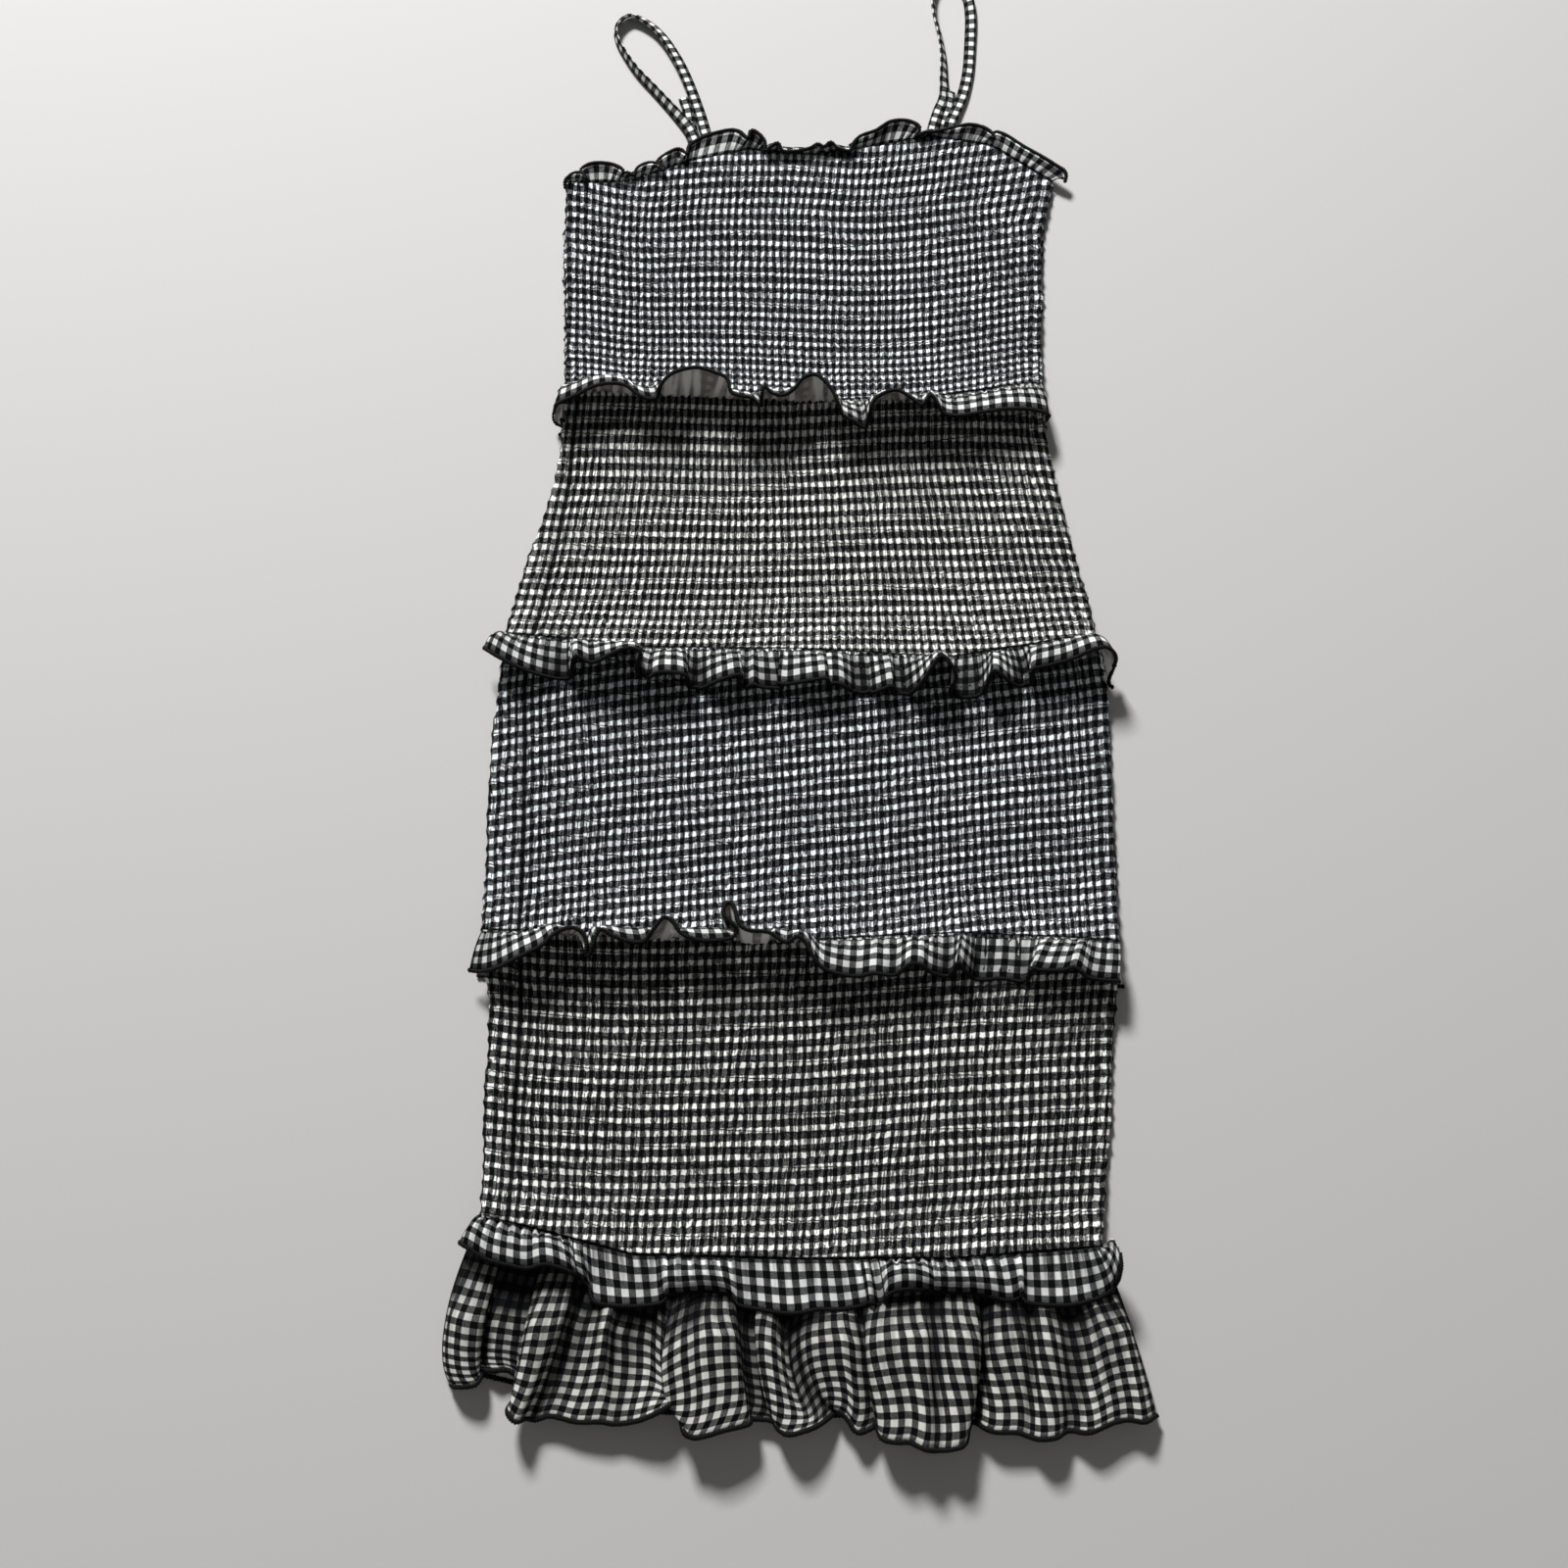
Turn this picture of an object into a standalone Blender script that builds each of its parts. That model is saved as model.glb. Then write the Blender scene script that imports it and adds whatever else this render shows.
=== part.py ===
"""A shirred gingham bodycon dress, laid flat on its back.

The dress is a tube of four shirred tiers with a frill in each seam, a flounce at the hem, a frilled
neck edge and two narrow straps. Each panel, frill and strap is one object. Sizes are millimetres
until a mesh is made. In the tables x runs to the right and y to the neckline, from a datum on the
thigh tier, and z rises from the surface that the dress lies on.
"""

import bisect
import math

import bmesh
import bpy
from mathutils import Vector

MM = 0.001
# The middle of the dress's box, measured from the tables' datum.
BOX_MIDDLE = (7.0, 386.0)

SHIRRED_WALL = 2.2
FRILL_WALL = 1.2
SEAM_GAP = 0.3
HALF_GAP = SEAM_GAP / 2

# Shirring: rows of elastic across each tier, with the cloth puffed up between them.
ROWS = 18
ROW_RIDGE = 0.9

FRILL_DEPTH = 24.0
NECK_FRILL_DEPTH = 15.0
FLOUNCE_DEPTH = 92.0
# A frill starts this far from the end of the panel that it hangs from.
FRILL_START = 0.9
NECK_FRILL_START = 2.1
# A frill that leans this far from upright bulges square to its own slope.
LEAN_REACH = 6.0
# Rows of faces from a frill's seam to its edge.
FRILL_STEPS = 3
NECK_FRILL_STEPS = 2
FLOUNCE_STEPS = 5

STRAP_WIDTH = 7.5
STRAP_THICK = 2.4

# Each seam's y at even places across the tube, from its left fold to its right.
SEAMS = {
    "neck": (679, 680, 695, 704, 700, 706, 714, 707, 679),
    "waist": (527, 523, 519, 521, 532),
    "hip": (369, 360, 359, 354, 368),
    "thigh": (195, 191, 189, 193, 189),
    "hem": (44, 24, 22, 22, 28),
}

# Each tier: the seams that it hangs between and its sections from top to bottom. Columns: place
# down the tier (0 to 1), the left fold, the side seam that has swung round onto the front, and the
# right fold.
TIERS = {
    "bodice": {
        "seams": ("neck", "waist"),
        "sections": [
            (0.00, -139, -138, 171),
            (0.25, -139, -138, 164),
            (0.60, -137, -136, 162),
            (1.00, -134, -133, 157),
        ],
    },
    "waist_tier": {
        "seams": ("waist", "hip"),
        "sections": [
            (0.00, -134, -124, 157),
            (0.20, -134, -127, 158),
            (0.37, -138, -129, 163),
            (0.60, -148, -134, 170),
            (0.78, -156, -139, 176),
            (1.00, -162, -145, 181),
        ],
    },
    "hip_tier": {
        "seams": ("hip", "thigh"),
        "sections": [
            (0.00, -162, -147, 181),
            (0.20, -165, -149, 186),
            (0.50, -168, -147, 186),
            (1.00, -166, -145, 184),
        ],
    },
    "thigh_tier": {
        "seams": ("thigh", "hem"),
        "sections": [
            (0.00, -166, -144, 184),
            (0.25, -161, -143, 179),
            (0.60, -160, -144, 174),
            (1.00, -159, -144, 166),
        ],
    },
}

# How the panels rise to a seam, where frills and seam allowances lie under and between them.
# Columns: distance from the seam, lift of the back panel, hollow between back and front.
ABOVE_SEAM = [(0, 5.5, 4.0), (8, 4.0, 3.2), (20, 1.6, 1.6), (38, 0.0, 0.5), (70, 0.0, 0.0)]
BELOW_SEAM = [(0, 5.5, 4.0), (12, 5.0, 2.6), (27, 4.2, 1.0), (42, 1.4, 0.2), (58, 0.0, 0.0)]

# The folds of each front frill, from left to right. Columns: where the fold is sewn on, where its
# edge lies, how far the edge reaches from the seam towards the hem, and its height over the seam.
WAIST_FRILL = [
    (-131, -137, 23, 5),
    (-127, -134, 19, 14),
    (-120, -121, 15, 19),
    (-111, -111, 10, 22),
    (-100, -100, 7, 23),
    (-90, -91, 9, 22),
    (-79, -79, 14, 19),
    (-72, -72, 5, 23),
    (-66, -66, 0, 24),
    (-53, -53, -6, 23),
    (-38, -38, -2, 24),
    (-30, -31, 6, 23),
    (-18, -17, 13, 20),
    (-12, -12, 7, 23),
    (3, 4, 6, 23),
    (11, 11, -1, 24),
    (18, 18, -5, 23),
    (27, 27, 0, 24),
    (34, 33, 14, 19),
    (47, 48, 22, 9),
    (53, 52, 12, 20),
    (66, 66, 6, 23),
    (80, 80, 15, 18),
    (86, 86, 12, 20),
    (93, 92, 18, 15),
    (104, 104, 21, 11),
    (130, 132, 21, 11),
    (150, 156, 22, 7),
    (154, 160, 23, 1),
]
HIP_FRILL = [
    (-161, -171, 10, 3),
    (-152, -160, 18, 4),
    (-143, -150, 22, 2),
    (-124, -125, 21, 3),
    (-117, -118, 12, 19),
    (-108, -108, 15, 17),
    (-88, -89, 10, 21),
    (-81, -82, 18, 7),
    (-70, -70, 18, 8),
    (-54, -54, 23, 0),
    (-41, -41, 22, 1),
    (-25, -25, 19, 7),
    (-3, -2, 23, 0),
    (11, 11, 20, 3),
    (24, 25, 19, 6),
    (38, 38, 23, -1),
    (51, 51, 23, -1),
    (61, 61, 20, 4),
    (73, 74, 21, 2),
    (81, 82, 15, 15),
    (88, 88, 9, 21),
    (94, 94, 14, 16),
    (100, 99, 22, 2),
    (111, 111, 23, -1),
    (118, 118, 17, 12),
    (136, 136, 20, 5),
    (143, 142, 13, 18),
    (164, 168, 15, 15),
    (175, 184, 13, 15),
    (179, 188, 24, -2),
]
THIGH_FRILL = [
    (-162, -172, 23, -1),
    (-151, -152, 18, 6),
    (-131, -131, 12, 19),
    (-120, -120, 5, 23),
    (-107, -107, 4, 23),
    (-103, -103, 13, 19),
    (-98, -98, 5, 23),
    (-82, -82, 8, 22),
    (-74, -73, 4, 23),
    (-65, -65, -5, 23),
    (-57, -57, 3, 23),
    (-38, -37, 6, 23),
    (-30, -31, -12, 20),
    (-23, -23, 0, 24),
    (-8, -8, 1, 24),
    (4, 4, 7, 22),
    (14, 14, 10, 21),
    (23, 23, 17, 13),
    (33, 34, 21, 5),
    (47, 48, 20, 7),
    (58, 58, 22, 3),
    (70, 70, 19, 11),
    (84, 85, 23, 3),
    (94, 93, 19, 10),
    (104, 104, 23, 1),
    (121, 122, 23, -1),
    (140, 140, 18, 12),
    (153, 156, 17, 13),
    (166, 169, 21, 6),
    (181, 184, 23, -1),
]
HEM_FRILL = [
    (-156, -167, 14, 3),
    (-144, -152, 21, 3),
    (-131, -134, 18, 9),
    (-110, -112, 15, 13),
    (-100, -100, 17, 12),
    (-94, -95, 24, -2),
    (-72, -72, 24, -2),
    (-64, -63, 22, 3),
    (-58, -58, 17, 15),
    (-30, -30, 16, 17),
    (-24, -24, 22, 3),
    (-17, -18, 24, -3),
    (3, 3, 24, -3),
    (22, 23, 22, 1),
    (43, 43, 19, 7),
    (50, 50, 22, 0),
    (57, 56, 16, 15),
    (78, 79, 15, 18),
    (108, 110, 17, 14),
    (117, 118, 17, 11),
    (127, 128, 21, 2),
    (150, 154, 23, -1),
    (160, 169, 17, 5),
    (163, 172, 8, 8),
]
NECK_FRILL = [
    (-137, -139, 3, 2),
    (-130, -132, 7, 4),
    (-117, -117, 13, 5),
    (-109, -109, 11, 5),
    (-103, -102, 3, 8),
    (-95, -94, 6, 7),
    (-87, -86, 7, 6),
    (-79, -77, -2, 8),
    (-73, -73, 7, 7),
    (-68, -67, 9, 6),
    (-62, -62, 4, 8),
    (-57, -56, 13, 5),
    (-48, -48, 15, 5),
    (-36, -35, 15, 5),
    (-26, -25, 9, 7),
    (-20, -20, 12, 7),
    (-13, -12, 2, 9),
    (-5, -5, 2, 8),
    (1, 1, -4, 9),
    (8, 8, -2, 9),
    (17, 17, 1, 9),
    (30, 30, 3, 8),
    (40, 42, -4, 9),
    (47, 48, 6, 8),
    (60, 61, 11, 7),
    (71, 71, 14, 6),
    (83, 84, 10, 7),
    (89, 88, 3, 9),
    (101, 102, 2, 9),
    (115, 115, 8, 8),
    (123, 123, 10, 7),
    (131, 131, 5, 8),
    (137, 137, 10, 7),
    (149, 150, 12, 6),
    (160, 162, 11, 6),
    (168, 172, 7, 5),
    (170, 178, 3, 6),
]
# The flounce's folds, in the same columns. Its heights are over the back flounce.
FLOUNCE = [
    (-165, -172, 84, 0),
    (-156, -161, 83, 4),
    (-147, -152, 76, 1),
    (-140, -141, 76, 1),
    (-133, -134, 91, 7),
    (-122, -122, 89, 5),
    (-107, -107, 88, 7),
    (-85, -85, 85, 6),
    (-66, -66, 81, 5),
    (-58, -58, 75, 3),
    (-51, -51, 86, 11),
    (-42, -42, 88, 13),
    (-22, -21, 83, 10),
    (-14, -13, 79, 4),
    (-2, -1, 85, 8),
    (14, 14, 83, 7),
    (25, 25, 75, 3),
    (40, 41, 81, 4),
    (48, 49, 87, 11),
    (64, 66, 91, 13),
    (84, 87, 91, 11),
    (94, 96, 79, 3),
    (105, 108, 85, 5),
    (130, 137, 88, 9),
    (140, 148, 85, 6),
    (150, 162, 84, 7),
    (164, 189, 84, 1),
]

# The hidden frills of the back lie pressed flat, in even waves.
BACK_WAVES = 14
BACK_WAVE_HEIGHT = 2.0
BACK_STEPS = 2
BACK_OVERHANG = 5.0
# How far the back neck frill reaches past its seam, at even places across the tube.
BACK_NECK_REACHES = (8, 12, 12, 9, 5, 7, 12, 11, 8)

# The straps' middle lines from the front root, round the loop, to the back root. Columns: x, y,
# height of the underside, and roll: 0 lies flat and 90 stands on its edge.
LEFT_STRAP = [
    (-45, 704, 1.5, 0),
    (-48, 713, 1.5, 0),
    (-51, 722, 0.9, 0),
    (-54, 734, 0.0, 5),
    (-59, 750, 0.0, 10),
    (-64, 764, 0.0, 15),
    (-70, 778, 0.0, 25),
    (-79, 794, 0.0, 35),
    (-89, 805, 0.0, 40),
    (-101, 811, 0.0, 50),
    (-109, 804, 0.0, 70),
    (-110, 794, 0.0, 80),
    (-105, 782, 0.0, 80),
    (-96, 767, 0.0, 75),
    (-84, 752, 0.0, 65),
    (-72, 737, 0.0, 50),
    (-62, 724, 0.9, 20),
    (-58, 713, 1.5, 0),
    (-56, 702, 1.5, 0),
]
RIGHT_STRAP = [
    (95, 719, 1.5, 0),
    (97, 727, 1.5, 0),
    (100, 737, 0.3, 5),
    (104, 748, 0.0, 20),
    (104, 762, 0.0, 45),
    (104, 778, 0.0, 60),
    (102, 796, 0.0, 70),
    (99, 812, 0.0, 75),
    (99, 828, 0.0, 75),
    (105, 839, 0.0, 60),
    (114, 839, 0.0, 50),
    (121, 828, 0.0, 30),
    (123, 812, 0.0, 15),
    (122, 790, 0.0, 5),
    (120, 768, 0.0, 0),
    (116, 750, 0.0, 5),
    (111, 737, 0.6, 5),
    (107, 727, 1.5, 0),
    (106, 718, 1.5, 0),
]
STRAP_STATIONS = 30
# The strap's flattened tube, as parts of its width and thickness.
STRAP_SECTION = [
    (1, 0),
    (0.82, 0.8),
    (0, 1),
    (-0.82, 0.8),
    (-1, 0),
    (-0.82, -0.8),
    (0, -1),
    (0.82, -0.8),
]

CLOTH_COLOURS = {
    "shirred": (0.16, 0.165, 0.17, 1.0),
    "frill": (0.20, 0.20, 0.205, 1.0),
    "strap": (0.18, 0.18, 0.185, 1.0),
}


def remove_startup_objects():
    for obj in list(bpy.data.objects):
        bpy.data.objects.remove(obj, do_unlink=True)


def between(stations, values, at):
    """The value at a station, on straight lines between the known ones."""
    i = min(max(bisect.bisect_right(stations, at), 1), len(stations) - 1)
    span = stations[i] - stations[i - 1]
    part = min(max((at - stations[i - 1]) / span, 0.0), 1.0)
    return values[i - 1] + part * (values[i] - values[i - 1])


def column(rows, number):
    return [row[number] for row in rows]


def smooth_row(rows, at):
    """A table row at a fractional place, on a smooth curve through the rows."""
    i = min(int(at), len(rows) - 2)
    t = at - i
    before, start, end, after = (rows[min(max(i + k, 0), len(rows) - 1)] for k in (-1, 0, 1, 2))
    return [
        0.5 * (2 * b + (c - a) * t + (2 * a - 5 * b + 4 * c - d) * t**2 + (3 * b - a - 3 * c + d) * t**3)
        for a, b, c, d in zip(before, start, end, after)
    ]


def spaced_value(values, at):
    """The value at a place from 0 to 1 among values at even places."""
    stations = [i / (len(values) - 1) for i in range(len(values))]
    return between(stations, values, at)


def seam_y(seam, across):
    """A seam's y at a place across the tube, 0 at its left fold and 1 at its right."""
    return spaced_value(SEAMS[seam], across)


def tier_section(tier, down):
    """The left fold, side seam and right fold of a tier at a place down it."""
    rows = TIERS[tier]["sections"]
    stations = column(rows, 0)
    return [between(stations, column(rows, number), down) for number in (1, 2, 3)]


def tier_length(tier):
    upper, lower = TIERS[tier]["seams"]
    return seam_y(upper, 0.5) - seam_y(lower, 0.5)


def lift_and_hollow(below, above):
    """The back panel's lift and the hollow over it, from the distances to the seams each way."""
    found = []
    for number in (1, 2):
        under_upper = between(column(BELOW_SEAM, 0), column(BELOW_SEAM, number), below)
        over_lower = between(column(ABOVE_SEAM, 0), column(ABOVE_SEAM, number), above)
        found.append(max(under_upper, over_lower))
    return found


def levels(tier, down):
    """The heights of the back's underside and top, and of the front's underside and top."""
    length = tier_length(tier)
    far = BELOW_SEAM[-1][0]
    below = down * length if tier != "bodice" else far
    lift, hollow = lift_and_hollow(below, (1 - down) * length)
    back_top = lift + SHIRRED_WALL
    front_under = back_top + SEAM_GAP + hollow
    return lift, back_top, front_under, front_under + SHIRRED_WALL


def row_stations(rows):
    """Places down a tier with the ridge there: 0 at each row of elastic, 1 between two rows."""
    return [(i / (2 * rows), i % 2) for i in range(2 * rows + 1)]


def tier_point(tier, down, x, z):
    """A point of a tier's section, pulled in by half the seam gap at either end."""
    left, _, right = tier_section(tier, down)
    across = (x - left) / (right - left)
    upper, lower = (seam_y(seam, across) for seam in TIERS[tier]["seams"])
    y = upper + (lower - upper) * down
    if down == 0:
        y -= HALF_GAP
    if down == 1:
        y += HALF_GAP
    return (x, y, z)


def inner_columns(tier, down):
    """The x of a tier's columns between its folds, one at each place of its upper seam."""
    left, _, right = tier_section(tier, down)
    count = len(SEAMS[TIERS[tier]["seams"][0]]) - 1
    return [left + i / count * (right - left) for i in range(1, count)]


def front_section(tier, down, ridge):
    """The outer and inner lines of a front panel: raised between the rows outside, plain inside."""
    _, side_seam, right = tier_section(tier, down)
    _, back_top, under, top = levels(tier, down)
    top += ridge * ROW_RIDGE
    start = side_seam + HALF_GAP
    meeting = back_top + SEAM_GAP
    hollow = under - meeting
    columns = inner_columns(tier, down)
    outer = [(x, top) for x in (start, *columns, right - 9)]
    outer += [(right - 3, top - 0.5 - 0.3 * hollow), (right, meeting + 1.0)]
    inner = [(x, under) for x in (start, *columns, right - 9)]
    inner += [(right - 4, meeting + 0.5 * hollow), (right - 1.2, meeting)]
    return [[tier_point(tier, down, x, z) for x, z in line] for line in (outer, inner)]


def back_section(tier, down, ridge):
    """The outer and inner lines of a back panel: flat underneath, wrapped round the left fold."""
    left, side_seam, right = tier_section(tier, down)
    lift, back_top, front_under, top = levels(tier, down)
    end = side_seam - HALF_GAP
    puffed = top + ridge * ROW_RIDGE
    hollow = front_under - back_top
    columns = inner_columns(tier, down)[::-1]
    outer = [(right, lift + 0.7), *[(x, lift) for x in (right - 1.2, *columns, left + 2.4)]]
    inner = [(right, back_top - 0.6), *[(x, back_top) for x in (right - 1.2, *columns, left + 3.4)]]
    if end - left < 3:
        outer.append((left, lift + 0.8))
        inner.append((left + 0.4, back_top))
    else:
        outer += [(left + 0.7, lift + 0.7), (left, lift + 0.45 * (top - lift))]
        outer += [(left + 0.7, top - 0.8 - 0.2 * hollow), (left + 3, puffed - 0.2), (end, puffed)]
        inner += [(left + 2.6, back_top + 0.15 * hollow), (left + 2.4, back_top + 0.5 * hollow)]
        inner += [(left + 2.6, back_top + 0.85 * hollow), (left + 3.4, front_under), (end, front_under)]
    return [[tier_point(tier, down, x, z) for x, z in line] for line in (outer, inner)]


def cloth_material(name, colour):
    material = bpy.data.materials.new(name)
    material.use_nodes = True
    shader = material.node_tree.nodes["Principled BSDF"]
    shader.inputs["Base Color"].default_value = CLOTH_COLOURS[colour]
    shader.inputs["Roughness"].default_value = 0.85
    shader.inputs["Metallic"].default_value = 0.0
    return material


def placed(point):
    """A table point as a mesh point, in metres from the middle of the dress's box."""
    return Vector(((point[0] - BOX_MIDDLE[0]) * MM, (point[1] - BOX_MIDDLE[1]) * MM, point[2] * MM))


def add_object(name, mesh, colour, collection):
    mesh.materials.append(cloth_material(name, colour))
    obj = bpy.data.objects.new(name, mesh)
    collection.objects.link(obj)
    return obj


def add_loft(name, sections, colour, collection):
    """A closed solid through sections, each an outer and an inner line with as many points."""
    bm = bmesh.new()
    rings = []
    for outer, inner in sections:
        rings.append([bm.verts.new(placed(point)) for point in (*outer, *reversed(inner))])
    for ring, following in zip(rings, rings[1:]):
        for i in range(len(ring)):
            j = (i + 1) % len(ring)
            bm.faces.new((ring[i], ring[j], following[j], following[i]))
    for ring in (rings[0], rings[-1]):
        for i in range(len(ring) // 2 - 1):
            bm.faces.new((ring[i], ring[i + 1], ring[-i - 2], ring[-i - 1]))
    bmesh.ops.recalc_face_normals(bm, faces=bm.faces)
    mesh = bpy.data.meshes.new(name)
    bm.to_mesh(mesh)
    bm.free()
    return add_object(name, mesh, colour, collection)


def add_cloth(name, surface, across, down, collection):
    """A sheet of cloth on surface(u, v), u along the seam and v to the free edge, with a wall."""
    bm = bmesh.new()
    bmesh.ops.create_grid(bm, x_segments=across, y_segments=down, size=0.5)
    for vert in bm.verts:
        vert.co = placed(surface(vert.co.x + 0.5, vert.co.y + 0.5))
    bmesh.ops.recalc_face_normals(bm, faces=bm.faces)
    mesh = bpy.data.meshes.new(name)
    bm.to_mesh(mesh)
    bm.free()
    obj = add_object(name, mesh, "frill", collection)
    wall = obj.modifiers.new("wall", "SOLIDIFY")
    wall.thickness = FRILL_WALL * MM
    wall.offset = 0
    return obj


def tube_edges(seam):
    """The left and right folds at a seam."""
    for tier, facts in TIERS.items():
        if facts["seams"][1] == seam:
            left, _, right = tier_section(tier, 1)
            return left, right
    left, _, right = tier_section("bodice", 0)
    return left, right


def tier_top(tier, x, y):
    """The height of a tier's front, ridges included, or the surface underneath beside it."""
    left, _, right = tier_section(tier, 0.1)
    if x < left or x > right:
        return 0.0
    across = (x - left) / (right - left)
    upper, lower = (seam_y(seam, across) for seam in TIERS[tier]["seams"])
    down = min(max((upper - y) / (upper - lower), 0.0), 1.0)
    ridge = min(2 * ROWS * min(down, 1 - down), 1.0)
    return levels(tier, down)[3] + ridge * ROW_RIDGE


def hanging_arc(start, end, length, part):
    """A point on the arc of cloth of that length between two points, bulging to its face side."""
    chord = end - start
    sag = math.sqrt(max(length**2 - chord.length_squared, 0.0) * 3 / 16)
    lean = min(max(chord.y / LEAN_REACH, -1.0), 1.0)
    face = Vector((0, -chord.z * lean, max(math.hypot(chord.x, chord.y), LEAN_REACH / 2))).normalized()
    return start + chord * part + face * (4 * sag * part * (1 - part))


def frill_surface(folds, seam, clear_of):
    """The surface of a front frill that hangs from a seam over the tiers next to it."""
    left, right = tube_edges(seam)
    seam_top = clear_of(0.5 * (left + right), seam_y(seam, 0.5))
    lowest = SEAM_GAP + FRILL_WALL / 2 + 0.1

    def surface(u, v):
        sewn, edge, reach, rise = smooth_row(folds, u * (len(folds) - 1))
        across = min(max((sewn - left) / (right - left), 0.0), 1.0)
        y = seam_y(seam, across)
        start = Vector((sewn, y - FRILL_START, seam_top + lowest))
        end = Vector((edge, y - reach, seam_top + lowest + rise))
        point = hanging_arc(start, end, FRILL_DEPTH, v)
        point.z = max(point.z, clear_of(point.x, point.y) + lowest)
        return point

    return surface


def flounce_lift(distance):
    """The height of the back flounce's underside at a distance from the hem seam."""
    return between(column(BELOW_SEAM, 0), column(BELOW_SEAM, 1), distance)


def flounce_surface(u, v):
    """The front flounce: folds that start under the hem frill and grow towards the hem."""
    sewn, edge, reach, rise = smooth_row(FLOUNCE, u * (len(FLOUNCE) - 1))
    left, right = tube_edges("hem")
    y = seam_y("hem", min(max((sewn - left) / (right - left), 0.0), 1.0))
    spread = v**0.8
    distance = FRILL_START + v * (reach - FRILL_START)
    hollow = between(column(BELOW_SEAM, 0), column(BELOW_SEAM, 2), distance)
    under = flounce_lift(distance) + BACK_WAVE_HEIGHT + FRILL_WALL + SEAM_GAP
    swell = rise * min(max((v - 0.2) / 0.5, 0.0), 1.0)
    return Vector((sewn + (edge - sewn) * spread, y - distance, under + FRILL_WALL / 2 + hollow + swell))


def back_flounce_surface(u, v):
    """The back flounce, in even waves that grow towards the hem."""
    left, right = tube_edges("hem")
    y = seam_y("hem", u)
    distance = FRILL_START + v * (FLOUNCE_DEPTH - 16)
    wave = 0.5 - 0.5 * math.cos(2 * math.pi * BACK_WAVES * u)
    x = left + 2 + u * (right - left - 4)
    x += (x - 0.5 * (left + right)) * 0.05 * v
    z = flounce_lift(distance) + FRILL_WALL / 2 + BACK_WAVE_HEIGHT * wave * v
    return Vector((x, y - distance, z))


def back_frill_surface(seam):
    """A frill pressed flat under the back, from its seam to its edge."""
    left, right = tube_edges(seam)

    def surface(u, v):
        x = left - BACK_OVERHANG * v + u * (right - left + 2 * BACK_OVERHANG * v)
        y = seam_y(seam, u) - FRILL_START - v * (FRILL_DEPTH - 2)
        wave = 0.5 - 0.5 * math.cos(2 * math.pi * BACK_WAVES * u)
        sewn = between(column(BELOW_SEAM, 0), column(BELOW_SEAM, 1), 0) - SEAM_GAP - FRILL_WALL / 2
        flat = FRILL_WALL / 2 + BACK_WAVE_HEIGHT * wave
        drop = min(v * BACK_STEPS, 1.0)
        return Vector((x, y, sewn + (flat - sewn) * drop))

    return surface


def neck_frill_surface(u, v):
    """The front neck frill: it stands past the first row of elastic, over the straps' roots."""
    sewn, edge, reach, rise = smooth_row(NECK_FRILL, u * (len(NECK_FRILL) - 1))
    left, right = tube_edges("neck")
    y = seam_y("neck", min(max((sewn - left) / (right - left), 0.0), 1.0))
    z = levels("bodice", 0)[2] + SHIRRED_WALL / 2
    start = Vector((sewn, y + NECK_FRILL_START, z))
    end = Vector((edge, y + reach, z + rise))
    return hanging_arc(start, end, NECK_FRILL_DEPTH, v)


def back_neck_frill_surface(u, v):
    """The back neck frill, flat under the front one."""
    left, right = tube_edges("neck")
    reach = spaced_value(BACK_NECK_REACHES, u)
    y = seam_y("neck", u) + NECK_FRILL_START + v * (reach - NECK_FRILL_START)
    return Vector((left + 1 + u * (right - left - 2), y, FRILL_WALL / 2))


def strap_sections(rows):
    """Sections of a flattened tube along a strap, turned by its roll and lifted to rest."""
    count = STRAP_STATIONS
    stations = [smooth_row(rows, (len(rows) - 1) * i / count) for i in range(count + 1)]
    sections = []
    for i, (x, y, lift, roll) in enumerate(stations):
        before = stations[max(i - 1, 0)]
        after = stations[min(i + 1, count)]
        heading = math.atan2(after[1] - before[1], after[0] - before[0])
        side = Vector((-math.sin(heading), math.cos(heading), 0))
        angle = math.radians(roll)
        wide = side * math.cos(angle) + Vector((0, 0, math.sin(angle)))
        thin = Vector((0, 0, math.cos(angle))) - side * math.sin(angle)
        offsets = [
            wide * (a * STRAP_WIDTH / 2) + thin * (b * STRAP_THICK / 2) for a, b in STRAP_SECTION
        ]
        middle = Vector((x, y, max(lift, 0.0) - min(offset.z for offset in offsets)))
        half = len(offsets) // 2
        ring = [middle + offset for offset in offsets]
        sections.append((ring[:half], ring[half:][::-1]))
    return sections


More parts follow.
